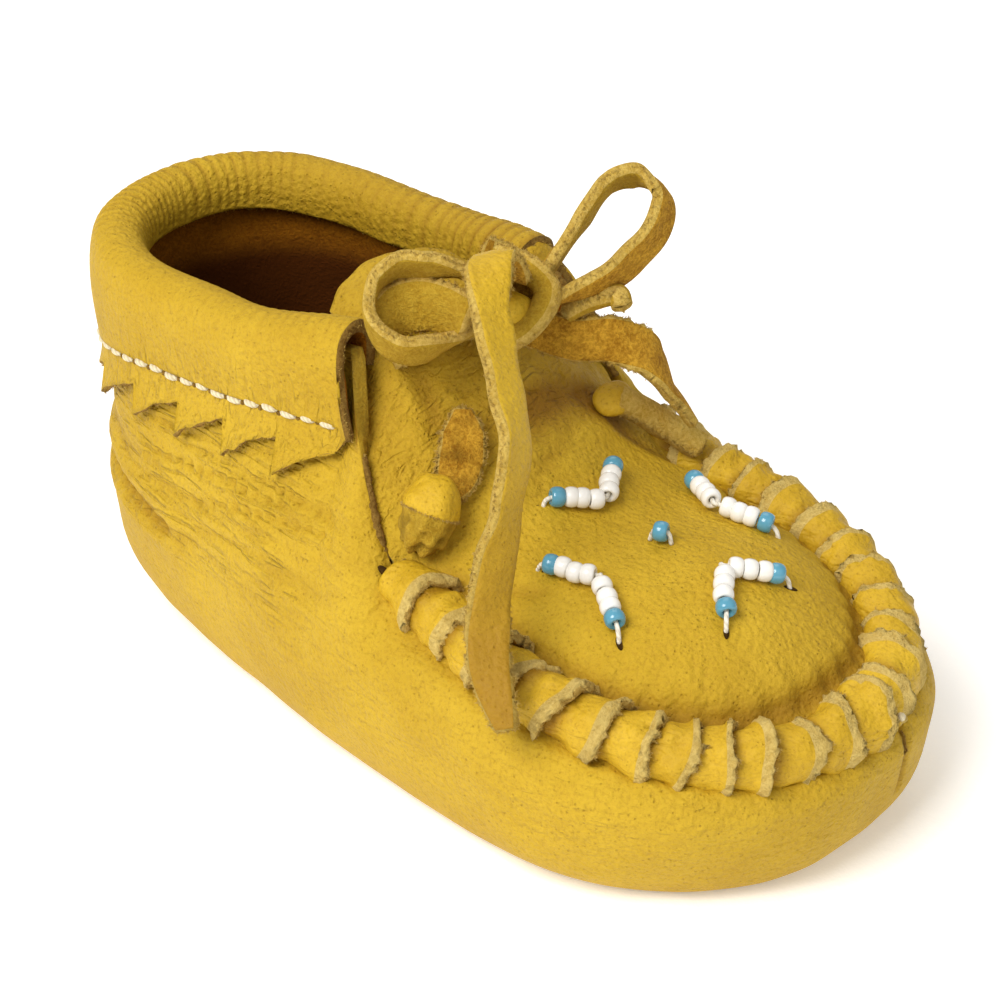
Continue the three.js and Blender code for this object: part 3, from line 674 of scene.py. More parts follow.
def wallPoints(run, v):
    x, top, edge = columnsAt(run)
    low = levelPoints(x, turnUnder[-1]["z"], turnUnder[-1]["inset"])
    tall = top[..., 2] - low[..., 2]
    first = low.copy()
    first[..., 2] += mix(0.42, 0.55, edge) * tall
    second = mix(top, low, (0.5 * edge)[..., None])
    second[..., 2] = top[..., 2] - mix(0.42, 0.1, edge) * tall
    v = np.asarray(v, float)[..., None]
    return (1 - v) ** 3 * low + 3 * v * (1 - v) ** 2 * first + 3 * v**2 * (1 - v) * second + v**3 * top


def wallAtHeight(run, z):
    run = np.asarray(run, float)
    low, high = np.zeros_like(run), np.ones_like(run)
    for step in range(22):
        middle = (low + high) / 2
        short = wallPoints(run, middle)[..., 2] < z
        low, high = np.where(short, middle, low), np.where(short, high, middle)
    return wallPoints(run, high)


def outward(run, step=0.004):
    top = topAt(np.minimum(3, run + step)) - topAt(np.maximum(0, run - step))
    way = unit(np.stack([-top[..., 1], top[..., 0], np.zeros_like(run)], -1))
    way = np.where((run < step)[..., None], np.array([-1.0, 0, 0]), way)
    return np.where((run > 3 - step)[..., None], np.array([1.0, 0, 0]), way)


def sideOf(signed):
    return np.where(signed < 0, -1.0, 1.0)


def sided(points, side):
    return points * np.stack([np.ones_like(side), side, np.ones_like(side)], -1)


def troughs(flat, side, rows):
    # soft creases: each row has its side, from, to, sag between them, width and depth
    depth = np.zeros(len(flat))
    for onSide, start, end, sag, width, deep in rows:
        t = np.linspace(0, 1, 14)
        line = mix(np.array(start, float), np.array(end, float), t[:, None])
        line = line - np.outer(np.sin(np.pi * t) * sag, (0, 1))
        away = np.linalg.norm(flat[:, None] - line[None], axis=2)
        taper = np.sin(np.pi * np.clip(0.08 + 0.84 * t[away.argmin(1)], 0, 1)) ** 0.6
        close = away.min(1) / width
        form = np.exp(-close**2) - 0.35 * bell(close, 1.9, 1)
        depth += np.where(side * onSide > 0, form * taper * deep, 0)
    return depth


# the bottom wrap: sole, sides, toe and quarters in one hide
wrapLook = {"hide": 1.6, "columns": (120, 26, 120), "capRows": 8, "underRows": 16, "wallRows": 72,
            "swell": (0.28, 0.1), "ditch": 0.7, "gather": 0.22, "gatherPitch": 4.7, "gatherAt": 0.72,
            "underBand": (0.97, 1.4), "lipRough": 0.12}
heelSeam = {"x": -48, "low": 7, "width": 0.5, "depth": 0.4}
toeSeam = {"x": 54, "y": 6.4, "slope": -0.1, "top": 16.3, "low": 7.5, "width": 0.5, "depth": 0.55,
           "crack": 0.12, "dots": ((56.8, 7.2, 18.5), (58.8, 5.5, 17.8)), "dot": 0.5}
sideCreases = [   # on the wall, as x and z
    (-1, (-61, 23.4), (-33, 17.4), 1.2, 1.4, 1.5),
    (-1, (-37, 17.4), (-26, 18.2), 0.6, 1, 0.5),
    (-1, (-50, 25.4), (-40, 23.6), 0.5, 1.6, 0.5),
    (-1, (-37, 25.8), (-8.8, 29.8), -0.3, 0.7, 0.5),
    (-1, (-23, 29.5), (-1.7, 30.2), -0.5, 0.65, 0.55),
    (-1, (-16, 31.6), (2.2, 31), 0.3, 0.7, 0.32),
    (-1, (-27, 23.8), (1.2, 29.6), -0.6, 0.7, 0.45),
    (-1, (-39, 22.4), (-21, 24.4), 0.5, 0.75, 0.5),
    (-1, (-2.5, 26.2), (6, 27.7), 0.2, 0.7, 0.25),
    (-1, (-1, 28.6), (6, 28.3), 0.2, 0.7, 0.22),
    (-1, (-12, 22.5), (4, 25), 0.5, 1.2, 0.3),
    (-1, (-30, 20.6), (-12, 23), 0.4, 0.7, 0.3),
    (1, (-61, 23.4), (-31, 18.5), 1.2, 1.4, 1.5),
    (1, (-36, 27), (-12, 28.5), 0.6, 0.75, 0.5),
    (1, (-24, 31), (0, 31.5), 0.4, 0.7, 0.5),
    (1, (-30, 23), (-2, 27.4), 0.7, 0.75, 0.45),
    (1, (-5, 25), (6, 27.6), 0.3, 0.6, 0.45),
]
fineCreases = {"count": 70, "x": (-42, -2), "z": (20, 34), "long": (5, 14), "climb": (0, 0.24),
               "sag": (-0.6, 0.6), "width": (0.4, 0.6), "depth": (0.08, 0.24)}


def fineRows():
    rows = []
    for k in range(fineCreases["count"]):
        x, z, long, climb, sag, width, depth = (
            rng.uniform(*fineCreases[key]) for key in ("x", "z", "long", "climb", "sag", "width", "depth"))
        rows.append((-1 if k % 2 else 1, (x, z), (x + long, z + long * climb), sag, width, depth))
    return rows


def wrapGrid():
    spans = [k + np.linspace(0, 1, count, endpoint=False) for k, count in enumerate(wrapLook["columns"])]
    half = np.concatenate([*spans, [3.0]])
    run = np.concatenate([half, half[-2:0:-1]])
    side = np.concatenate([-np.ones(len(half)), np.ones(len(half) - 2)])
    x = columnsAt(run)[0]
    rows = []
    for step in np.linspace(0, len(turnUnder) - 1, wrapLook["underRows"], endpoint=False):
        z, inset = (float(lookUp(turnUnder, column, step)) for column in ("z", "inset"))
        rows.append(levelPoints(x, max(0.0, z), inset))
    height = np.linspace(0, 1, wrapLook["wallRows"])
    rows += [wallPoints(run, np.full(len(run), v)) for v in height]
    grid = np.stack([sided(row, side) for row in rows])
    return grid, run, side, np.concatenate([np.zeros(wrapLook["underRows"]), height])


quarterEdges = []


def bottomWrap():
    grid, run, side, height = wrapGrid()
    x, y, z = np.moveaxis(grid, -1, 0)
    normals = gridNormals(grid)
    flat = grid[..., (0, 2)].reshape(-1, 2)
    sides = np.broadcast_to(side, grid.shape[:2]).reshape(-1)
    depth = troughs(flat, sides, sideCreases + fineRows()).reshape(grid.shape[:2])
    onFront = ramp(run, 1.9, 0.3)[None]
    ditch = wrapLook["ditch"] * bell(height, wrapLook["gatherAt"], 0.1)[:, None] * onFront
    along = lengthAlong(grid[-1])
    fold = np.sin(2 * np.pi * along / wrapLook["gatherPitch"] + 1.2 * np.sin(along / 7))[None]
    gather = wrapLook["gather"] * fold * bell(height, wrapLook["gatherAt"], 0.2)[:, None] * onFront
    free = ramp(z, 0, 4) * ramp(height, 1, -0.1)[:, None]   # the floor and the rim stay put
    broad, small = wrapLook["swell"]
    swell = broad * ripple(grid, 26, 3) + small * ripple(grid, 9, 4)
    crackAt = toeSeam["y"] + toeSeam["slope"] * (toeSeam["top"] - z)
    toeLine = bell(y, crackAt, toeSeam["width"]) * (x > toeSeam["x"]) * (z > toeSeam["low"])
    heelLine = bell(y, 0, heelSeam["width"]) * (x < heelSeam["x"]) * (z > heelSeam["low"])
    cut = toeSeam["depth"] * toeLine + heelSeam["depth"] * heelLine
    outer = grid + normals * ((swell - depth - ditch + gather - cut) * free)[..., None]
    # painted shade in the creases and the ditch below the lacing, darker seam lines at toe and heel
    paintedShadeAndTone = np.clip(depth * 0.5 + 0.7 * toeLine + 0.35 * heelLine + ditch * 0.3, 0, 0.8) * free
    # painted shade under the cuff band
    underCuff = (run > wrapLook["underBand"][0]) & (run < wrapLook["underBand"][1])
    paintedShadeAndTone = np.maximum(paintedShadeAndTone, 0.7 * underCuff[None] * ramp(height, 0.92, 0.04)[:, None])
    inner = (outer - normals * wrapLook["hide"])[np.r_[0:len(outer) - 1:3, len(outer) - 1]]
    x, z = outer[..., 0], outer[..., 2]
    heelSide = ramp(x, -60, 8) * ramp(x, 4, -14) * ramp(z, 12, 7)
    piece = Piece("bottomWrap")
    skin = piece.put(outer, paintedShadeAndTone, np.maximum(heelSide, 0.3 * ramp(z, 4, 5)))
    lining = piece.put(inner)
    piece.quads(skin, hideSkin, True)
    piece.quads(lining, liningSkin, True)
    lip = (outer[-1] + inner[-1]) / 2 + 0.35 * upward + rng.normal(0, wrapLook["lipRough"], inner[-1].shape)
    onQuarter = (run > 1) & (run < 2.03)
    for edge in (lip[onQuarter & (side < 0)], lip[onQuarter & (side > 0)]):
        rolled = smoothLine(edge[::4], 90)[0]
        quarterEdges.append(rolled + rng.normal(0, 0.04, rolled.shape))
    # painted shade on the lip under the cuff
    lipIds = piece.put(lip, np.where(underCuff, 0.75, 0.1))
    piece.quads(np.stack([skin[-1], lipIds]), suedeSkin, True)
    piece.quads(np.stack([lipIds, lining[-1]]), suedeSkin, True)
    for rim, last, finish in ((outer[0], skin[0], hideSkin), (inner[0], lining[0], liningSkin)):
        pole = np.array([0, 0, rim[:, 2].mean()])
        for share in np.linspace(1, 0, wrapLook["capRows"], endpoint=False)[1:]:
            row = piece.put(mix(pole, rim, share))
            piece.quads(np.stack([last, row]), finish, True)
            last = row
        piece.fan(last, pole, finish)
    piece.make("hide", "bottom_wrap")


bottomWrap()


# rods, lumps and the raw quarter edges
def addRod(piece, line, radius, finish, sides=10):
    line = np.asarray(line, float)
    first, second = squareTo(unit(np.gradient(line, axis=0)), (0.31, 0.17, 0.93))
    spin = circle(sides)[None, :, None]
    rim = np.cos(spin) * first[:, None] + np.sin(spin) * second[:, None]
    ids = piece.put(line[:, None] + rim * np.broadcast_to(radius, len(line))[:, None, None])
    piece.quads(ids, finish, True)
    piece.fan(ids[0], line[0], finish)
    piece.fan(ids[-1], line[-1], finish)


def lumpGrid(at, half, way, rows=20, columns=28, dent=0.06, seed=50):
    way = unit(np.asarray(way, float))
    first, second = squareTo(way, (0.2, 1.0, 0.3))
    tilt = np.linspace(0.02, np.pi - 0.02, rows)[:, None]
    spin = circle(columns)[None]
    body = (np.sin(tilt) * np.cos(spin))[..., None] * first * half[0]
    body = body + (np.sin(tilt) * np.sin(spin))[..., None] * second * half[2]
    body = body - (np.cos(tilt) + 0 * spin)[..., None] * way * half[1]
    body = body * (1 + dent * ripple(body, 4, seed))[..., None]
    return np.asarray(at, float) + body


def addLump(piece, grid, finish, lowFinish=None, lowRows=0, paintedShadeAndTone=0.0):
    ids = piece.put(grid, paintedShadeAndTone)
    piece.quads(ids[lowRows:], finish, True)
    piece.quads(ids[:lowRows + 1], finish if lowFinish is None else lowFinish, True)
    piece.fan(ids[0], grid[0].mean(0), finish)
    piece.fan(ids[-1], grid[-1].mean(0), finish)


edgeRoll = {"from": 36, "radius": (0.4, 0.72), "uneven": 0.12, "lift": 0.4, "fibres": 80}


def rolledEdges():
    piece = Piece("quarterEdges")
    for edge in quarterEdges:
        line = edge[edgeRoll["from"]:]
        radius = mix(*edgeRoll["radius"], np.clip(np.linspace(0, 2, len(line)), 0, 1))
        addRod(piece, line, radius * (1 + rng.normal(0, edgeRoll["uneven"], len(line))), brownEdgeSkin, 12)
        away = unit(rng.normal(0, 1, line.shape))
        fuzzRows.append((line + edgeRoll["lift"] * upward, away, edgeRoll["fibres"]))
    piece.make("cut_edge")


rolledEdges()


# the vamp: domed plug and tongue
vampLook = {"hide": 1.5, "across": 90, "tongueRows": 56, "plugRows": 84, "tuck": 2, "swell": 0.14,
            "ditch": 0.8, "ditchAt": 4.1, "gather": 0.22, "gatherAt": 4.5, "fibres": 9}
throatLook = {"x": 5.8, "long": 3, "half": 11, "shade": 0.62}
headShade = {"x": 7.4, "y": 13.2, "long": 2.8, "half": 3.2, "shade": 0.6}
plugCreases = [   # on the plug, as x and y
    (1, (10.9, -6.5), (10.4, 5), 0, 1.2, 0.55),
    (1, (8.6, -4), (8.4, 10), 0, 1, 0.5),
    (1, (12.9, -7), (13.4, 1.5), 0, 0.8, 0.35),
    (1, (6.2, -2), (6, 12.5), 0, 1.6, 0.8),
    (1, (11.8, -4), (9.2, 5), 0, 0.6, 0.3),
    (1, (14.6, -8), (11.6, -3), 0, 0.6, 0.28),
    (1, (-2, -9.5), (4, -11), 0, 1.2, 0.4),
    (1, (18, -17.5), (23, -14.5), 0, 1, 0.4),
    (1, (6.5, 11), (16, 20.4), 0, 1.7, 0.7),
]


def vampHalf(x):
    tuck = vampLook["tuck"] * ramp(x, -9, 4) * ramp(x, 9.5, -4)
    onPlug = seamHalf(x, plug["inset"], plug["toeInset"])
    return np.where(x >= seam["throatX"], onPlug, lookUp(tongue, "half", x)) + tuck


def vampEdgeZ(x):
    return np.where(x >= seam["throatX"], seamZ(x) + plug["lift"], lookUp(tongue, "edgeZ", x))


def vampZ(x, y):
    low = vampEdgeZ(x)
    high = np.maximum(low + 0.4, lookUp(spine, "z", x))
    off = np.minimum(1, np.abs(y) / np.maximum(0.1, vampHalf(x)))
    return mix(high, low, off ** plug["crown"])


def vampNormal(x, y, d=0.4):
    alongX = (vampZ(x + d, y) - vampZ(x - d, y)) / (2 * d)
    alongY = (vampZ(x, y + d) - vampZ(x, y - d)) / (2 * d)
    return unit(np.stack([-alongX, -alongY, np.ones_like(alongX)], -1))


def onVamp(x, y, lift):
    x, y = np.asarray(x, float), np.asarray(y, float)
    return np.stack([x, y, vampZ(x, y)], -1) + vampNormal(x, y) * np.asarray(lift, float)[..., None]


def vamp():
    w = np.sin(np.linspace(-np.pi / 2, np.pi / 2, vampLook["across"]))
    end = mix(tongueEnd["near"], tongueEnd["far"], (w + 1) / 2) + tongueEnd["corner"] * np.abs(w) ** 4
    toe = seam["toe"] - plug["toeInset"]
    x = np.stack([
        *(mix(seam["throatX"], end, t) for t in np.linspace(1, 0, vampLook["tongueRows"], endpoint=False)),
        *(np.full_like(w, mix(seam["throatX"], toe, np.sin(t)))
          for t in np.linspace(0, np.arcsin(0.988), vampLook["plugRows"]))])
    y = w[None] * vampHalf(x)
    grid = np.stack([x, y, vampZ(x, y)], -1)
    normals = vampNormal(x, 0.97 * y)
    flat = grid[..., :2].reshape(-1, 2)
    depth = troughs(flat, np.ones(len(flat)), plugCreases).reshape(x.shape)
    line = topAt(np.linspace(2, 3, 120))
    line = np.concatenate([line * (1, -1, 1), line[-2::-1]])
    apart = np.linalg.norm(flat[:, None] - line[None, :, :2], axis=2)
    away = apart.min(1).reshape(x.shape)
    along = lengthAlong(line)[apart.argmin(1)].reshape(x.shape)
    onPlug = ramp(x, 9, 6)
    onTongue = ramp(x, 8, -5)
    ditch = vampLook["ditch"] * bell(away, vampLook["ditchAt"], 1.2) * onPlug
    fold = np.sin(2 * np.pi * along / wrapLook["gatherPitch"] + 1.2 * np.sin(along / 6))
    gather = vampLook["gather"] * fold * bell(away, vampLook["gatherAt"], 2.6) * onPlug
    swell = vampLook["swell"] * ripple(grid, 14, 21) + (0.05 + 0.1 * onTongue) * ripple(grid, 4, 22)
    face = grid + normals * (swell - depth - ditch + gather)[..., None]
    # painted shade: under the bow at the throat, beside the far lacing's head, over the tongue and toward the
    # toe; creases and the ditch darken too
    throat = bell(x, throatLook["x"], throatLook["long"]) * bell(y, 0, throatLook["half"])
    besideHead = bell(x, headShade["x"], headShade["long"]) * bell(y, headShade["y"], headShade["half"])
    shade = throatLook["shade"] * throat + headShade["shade"] * besideHead
    shade = shade + 0.2 * ramp(x, 4, -6) + 0.12 * ramp(x, 42, 8)
    paintedShadeAndTone = np.clip(depth * 0.65 + ditch * 0.65 + shade, 0, 0.8)
    worn = np.clip(throat * 1.2 + 0.4 * onTongue + 0.1, 0, 1)
    piece = Piece("vampHide")
    back = face - normals * vampLook["hide"]
    piece.sheet(face, back, (vampSkin, liningSkin, edgeSkin), 0.25, 0.1, paintedShadeAndTone, worn, vampLook["fibres"])
    piece.make("hide", "vamp")


vamp()


# the cuff: a band folded over the collar, puckered across its roll
cuffLook = {"roll": 3.5, "hide": 1.5, "inside": 6.4, "steps": 330, "around": 40, "pucker": 0.34,
            "pitch": (1.5, 2.2), "turnedIn": (3, 1.6, 3), "lead": 0.36, "fibres": 7}


def frontLead(run):
    # how far the band's front end runs on beside the quarter's edge
    return cuffLook["lead"] * ramp(run, 0.9, 0.1) ** 2


def cuffControls(run):
    out = outward(run)
    top = topAt(run)
    height = lookUp(collarLine, "top", top[:, 0])
    middle = top - out * (wrapLook["hide"] / 2)
    middle[:, 2] = height - cuffLook["roll"]
    face, back = [], []
    for up, off in ((0, 0.4), (0.35, 1), (0.7, 1.4)):
        at = wallAtHeight(run + (1 - up) * frontLead(run), mix(stitchHeight(run), middle[:, 2], up))
        face.append(at + out * (off + cuffLook["hide"]))
        back.append(at + out * off)
    for rows, radius in ((face, cuffLook["roll"]), (back, cuffLook["roll"] - cuffLook["hide"])):
        for turn in np.arange(5) * np.pi / 4:
            rows.append(middle + radius * (out * np.cos(turn) + upward * np.sin(turn)))
        at = middle - out * (radius - 0.2)
        at[:, 2] = height - cuffLook["inside"]
        rows.append(at)
    return np.stack(face, 1), np.stack(back, 1)


def splineWeights(count, steps):
    # weights that draw a smooth line through control rows
    weights = np.zeros((steps, count))
    for row, place in enumerate(np.linspace(0, count - 1, steps)):
        i = min(count - 2, int(place))
        t = place - i
        shares = (-0.5 * t + t**2 - 0.5 * t**3, 1 - 2.5 * t**2 + 1.5 * t**3,
                  0.5 * t + 2 * t**2 - 1.5 * t**3, -0.5 * t**2 + 0.5 * t**3)
        for k, share in enumerate(shares, i - 1):
            weights[row, min(count - 1, max(0, k))] += share
    return weights


def cuff():
    signed = np.linspace(-1, 1, cuffLook["steps"])
    side = sideOf(signed)
    faceRows, backRows = cuffControls(np.abs(signed))
    weights = splineWeights(faceRows.shape[1], cuffLook["around"])
    face, back = (sided(np.einsum("qk,skc->sqc", weights, rows), side[:, None])
                  for rows in (faceRows, backRows))
    normals = unit(face - back)
    around = np.linspace(0, 1, cuffLook["around"])
    along = lengthAlong(face[:, cuffLook["around"] // 2])
    wander = along + 0.5 * np.sin(along / 3.1) + 0.35 * np.sin(along / 1.7 + 1)
    pitch = mix(*cuffLook["pitch"], ramp(signed, -0.1, 0.3))
    lines = np.cumsum(np.gradient(wander) / pitch)[:, None] + 0.18 * np.sin(6 * around)[None]
    pleat = np.abs(np.sin(np.pi * lines)) ** 0.5
    onRoll = ramp(around, 0.36, 0.2) * ramp(around, 1.02, -0.1)
    onFlap = 0.3 * bell(around, 0.12, 0.12)
    uneven = 0.6 + 0.4 * np.sin(along / 9 + 0.7)
    strength = (onRoll * (0.45 + 0.55 * ramp(signed, -0.55, 0.3))[:, None] + onFlap[None]) * uneven[:, None]
    push = cuffLook["pucker"] * strength * (pleat - 0.7) + 0.12 * ripple(face, 11, 31)
    # painted shade between the pleats; the far roll is darker still
    farRoll = 0.22 * ramp(signed, 0.1, 0.3)[:, None] * ramp(around, 0.3, 0.2)[None]
    paintedShadeAndTone = np.clip((1 - pleat) * strength * 0.65 + farRoll, 0, 1)
    piece = Piece("cuffBand")
    piece.sheet(face + normals * push[..., None], back, (cuffSkin, liningSkin, brownEdgeSkin), 0.3, 0.12,
                paintedShadeAndTone, 0.1 + 0.6 * bell(around, 0, 0.2), cuffLook["fibres"])
    hollow = sided((backRows[:, 3] + backRows[:, 7]) / 2, side)
    plugged = lumpGrid(hollow[-1], cuffLook["turnedIn"], hollow[-1] - hollow[-4], seed=33)
    # the turned-in end carries painted shade
    addLump(piece, plugged, cuffSkin, paintedShadeAndTone=0.25)
    piece.make("hide", "cuff")


cuff()


# even steps along a line that goes from the near front round the heel to the far front
def evenRuns(place, pitch, fine=900):
    signed = np.linspace(-1, 1, fine)
    along = lengthAlong(place(signed))
    count = int(round(along[-1] / pitch))
    return count, lambda step: np.interp(np.asarray(step) / count * along[-1], along, signed)


# the pinked trim: the band's raw lower edge, cut in ratchet teeth
trimLook = {"pitch": 8.6, "tip": 7.3, "notch": 3.5, "hollow": 0.5, "ragged": 0.12, "slit": 0.3, "thick": 1.2,
            "gap": 0.35, "overlap": 0.4, "columns": 9, "rows": 9, "curl": 1.5, "fibres": 12}


def trimLine(signed):
    run = np.abs(signed)
    return sided(wallAtHeight(run, stitchHeight(run) - trimLook["notch"]), sideOf(signed))


def pinkedTrim():
    count, runAt = evenRuns(trimLine, trimLook["pitch"])
    down = np.linspace(0, 1, trimLook["rows"])
    face, back = [], []
    for tooth in range(count):
        curl = trimLook["curl"] * rng.uniform(0.2, 1) * (0.3 + 0.7 * abs(runAt(tooth + 0.5)))
        for share in np.linspace(trimLook["slit"] / trimLook["pitch"], 1, trimLook["columns"]):
            signed = np.full(trimLook["rows"], runAt(tooth + share))
            run, side = np.abs(signed), sideOf(signed)
            depth = mix(trimLook["notch"], trimLook["tip"], share) + rng.normal(0, trimLook["ragged"])
            depth = depth - trimLook["hollow"] * np.sin(np.pi * share)
            drop = trimLook["overlap"] - down * depth
            at = wallAtHeight(run + (1 - down) * frontLead(run), stitchHeight(run) + drop)
            lift = trimLook["gap"] + curl * down**3 * (0.25 + 0.75 * share)
            out = outward(run)
            face.append(sided(at + out * (lift + trimLook["thick"])[:, None], side))
            back.append(sided(at + out * lift[:, None], side))
    piece = Piece("pinkedTrim")
    piece.sheet(np.stack(face), np.stack(back), (cuffSkin, fleshSkin, tanEdgeSkin), 0.25, 0.14, worn=0.6,
                fuzz=trimLook["fibres"])
    piece.make("cut_edge", "pinked_trim")


pinkedTrim()


# the lacing: a flat thong whipped over the seam, each turn lapped on the next
lacingLook = {"pitch": 4.9, "widths": (0.78, 1.22), "lap": 1.2, "slant": (0.6, 2.2), "thick": 1.1,
              "raised": (0.8, 1.9), "half": 1.95, "high": 1.7, "lean": (24, 46), "inward": 0.32, "from": -38,
              "to": 214, "rows": 34, "columns": 17, "shade": 0.62, "fibres": 24}


def ridgeFrames(signed):
    run = 3 - np.abs(signed)
    out = outward(run)
    edgeX = mix(seam["throatX"], seam["toe"] - plug["toeInset"], np.sin((run - 2) * np.pi / 2))
    edge = np.stack([edgeX, vampHalf(edgeX), vampEdgeZ(edgeX)], -1)
    lean = np.radians(mix(*lacingLook["lean"], out[:, 0] ** 2))[:, None]
    middle = mix(topAt(run), edge, lacingLook["inward"]) + upward * 0.1
    raised = upward * np.cos(lean) + out * np.sin(lean)
    flat = out * np.cos(lean) - upward * np.sin(lean)
    return np.concatenate([sided(row, sideOf(signed)) for row in (middle, raised, flat)], 1)


ridgeRows = ridgeFrames(np.linspace(-1, 1, 700))
ridgeAlong = lengthAlong(ridgeRows[:, :3])


def onRidge(along, turn, lift):
    # a place on the ridge: length along it, turn round it from the outside, lift off it
    middle, raised, flat = np.split(readOff(np.clip(along, 0, ridgeAlong[-1]), ridgeAlong, ridgeRows), 3, -1)
    half, high = lacingLook["half"], lacingLook["high"]
    cos, sin = np.cos(turn)[..., None], np.sin(turn)[..., None]
    normal = unit(flat * cos * high + raised * sin * half)
    return middle + flat * cos * half + raised * sin * high + normal * np.asarray(lift)[..., None], normal


def lacing():
    count = int(round(ridgeAlong[-1] / lacingLook["pitch"]))
    widths = rng.uniform(*lacingLook["widths"], count)
    starts = np.concatenate([[0], np.cumsum(widths)]) / widths.sum() * ridgeAlong[-1]
    q = np.linspace(0, 1, lacingLook["rows"])[:, None]
    w = np.linspace(0, 1, lacingLook["columns"])[None]
    turn = np.radians(mix(lacingLook["from"], lacingLook["to"], q))
    arch = np.sin(np.pi * np.clip(0.04 + 0.92 * q, 0, 1)) ** 0.6
    piece = Piece("lacingThong")
    for k in range(count):
        slant = rng.uniform(*lacingLook["slant"])
        lead = starts[k + 1] + lacingLook["lap"] * np.maximum(arch, 0.6) + 0.3 * np.sin(9 * q + 2.3 * k)
        wave = 0.4 * np.sin(5 * q + k) * (w - 0.5)
        along = mix(starts[k] - 0.4, lead, w) + slant * (2 * q - 1) + wave
        raised = rng.uniform(*lacingLook["raised"])
        lift = raised * np.maximum(arch, 0.5) * w**2.4 + 0.55 * np.sin(np.pi * w) * arch
        back, normal = onRidge(along, turn + 0 * w, lift)
        torn = rng.normal(0, 0.16, along.shape) * (w > 0.85)
        back = back + normal * (0.24 * ripple(back, 3.2, 40 + k) + torn)[..., None]
        thick = lacingLook["thick"] * (0.85 + rng.uniform(0.15, 0.6) * w**3)[..., None]
        # painted shade where each turn comes out from under the one before, plus a random tone per turn
        tuck = (lacingLook["shade"] if k else 0) * ramp(w, 0.5, -0.25) ** 1.5 + rng.uniform(0, 0.14)
        border = int(rng.integers(2, 4))
        # the lacing's cut edges take the lighter copy: painted light
        piece.sheet(back + normal * thick, back, (thongSkin, fleshSkin, paintedLitEdgeSkin), 0.25, 0.3, tuck, 0.5,
                    lacingLook["fibres"], border)
    along = np.linspace(0, ridgeAlong[-1], 300)[None] + 0 * q
    core, normal = onRidge(along, turn + 0 * along, 0 * along)
    piece.sheet(core, core - normal * 0.5, [brownEdgeSkin] * 3, 0.1, 0.02)
    piece.make("thong", "lacing")


lacing()


# beads on their threads, with a needle hole at each thread's end
beadLook = {"radius": 1.24, "long": 1.7, "step": 1.57, "start": 0.9, "count": 4, "hole": 0.35, "lift": 1.45,
            "thread": 0.27, "square": 0.95, "uneven": 0.07, "threadEnd": 1.1, "needleHole": 1.75}
chevrons = table(
    ("name", "node", "apex", "ends"),
    ("beadsBack", "beads_back", (18.6, 0), ((14.2, -5), (14.2, 5))),
    ("beadsFar", "beads_far", (26.6, 10), ((20.6, 12.6), (32.8, 12.2))),
    ("beadsNear", "beads_near", (27.4, -10), ((20.4, -12), (33.6, -13.4))),
    ("beadsFront", "beads_front", (36.2, 0), ((40.8, -5), (40.4, 5))))
centreBead = {"at": (27.4, 0), "way": (0.9, 0.43, 0), "reach": 1.3}


def addBead(piece, at, way, finish, sides=24, around=14):
    way = unit(np.asarray(way, float))
    first, second = squareTo(way, (0.3, 0.2, 1.0))
    radius, hole, half = beadLook["radius"], beadLook["hole"], beadLook["long"] / 2
    turn = circle(around)
    wide, tall = (np.sign(form) * np.abs(form) ** beadLook["square"] for form in (np.cos(turn), np.sin(turn)))
    reach = (radius + hole) / 2 + (radius - hole) / 2 * wide
    spin = circle(sides)[:, None]
    rim = np.cos(spin) * first + np.sin(spin) * second
    ids = piece.put(at + rim[:, None] * reach[None, :, None] + way * (half * tall)[None, :, None])
    piece.quads(np.concatenate([ids, ids[:1]]), finish, True)


def addHole(piece, x, y, along, radius=0.55, sides=12):
    turn = circle(sides)
    way = np.array(along, float) / np.hypot(*along)
    px = x + radius * (1.5 * np.cos(turn) * way[0] - 0.6 * np.sin(turn) * way[1])
    py = y + radius * (1.5 * np.cos(turn) * way[1] + 0.6 * np.sin(turn) * way[0])
    low, rim = (piece.put(onVamp(px, py, np.full(sides, lift))) for lift in (-0.4, 0.1))
    piece.quads(np.stack([low, rim]), holeShadeSkin, True)
    piece.fan(rim, onVamp(x, y, 0.12), holeShadeSkin)
    piece.fan(low, onVamp(x, y, -0.4), holeShadeSkin)


def beadwork():
    lift = beadLook["lift"]
    steps = beadLook["step"] * (np.arange(beadLook["count"]) + beadLook["start"])[:, None]
    for row in chevrons:
        piece = Piece(row["name"])
        apex = onVamp(*row["apex"], lift)
        for end in row["ends"]:
            way = unit(onVamp(*end, lift) - apex)
            flat = (apex + way * steps)[:, :2] + rng.normal(0, beadLook["uneven"], (len(steps), 2))
            line = onVamp(flat[:, 0], flat[:, 1], np.full(len(flat), lift))
            run = [apex, *line, line[-1]]
            for k in range(1, len(line) + 1):
                addBead(piece, run[k], run[k + 1] - run[k - 1], blueGlass if k == len(line) else whiteGlass)
            hole = line[-1] + way * beadLook["needleHole"]
            down = onVamp(hole[0], hole[1], -0.1)
            bend = mix(line[-1] + way * beadLook["threadEnd"], down, 0.3)
            thread = smoothLine([apex - way * 0.2, line[0], line[-1], bend, down], 24)[0]
            addRod(piece, thread, beadLook["thread"], threadSkin)
            addHole(piece, hole[0], hole[1], way[:2])
        piece.make("bead_white", row["node"])
    centre = Piece("beadCentre")
    at = onVamp(*centreBead["at"], lift)
    way = np.array(centreBead["way"])
    addBead(centre, at, way, blueGlass)
    low, high = (onVamp(*(at + way * reach)[:2], 0) for reach in (-centreBead["reach"], centreBead["reach"]))
    thread = smoothLine([low, at - way * 0.8, at + way * 0.8, high], 16)[0]
    addRod(centre, thread, beadLook["thread"], threadSkin)
    centre.make("bead_blue", "bead_centre")


beadwork()


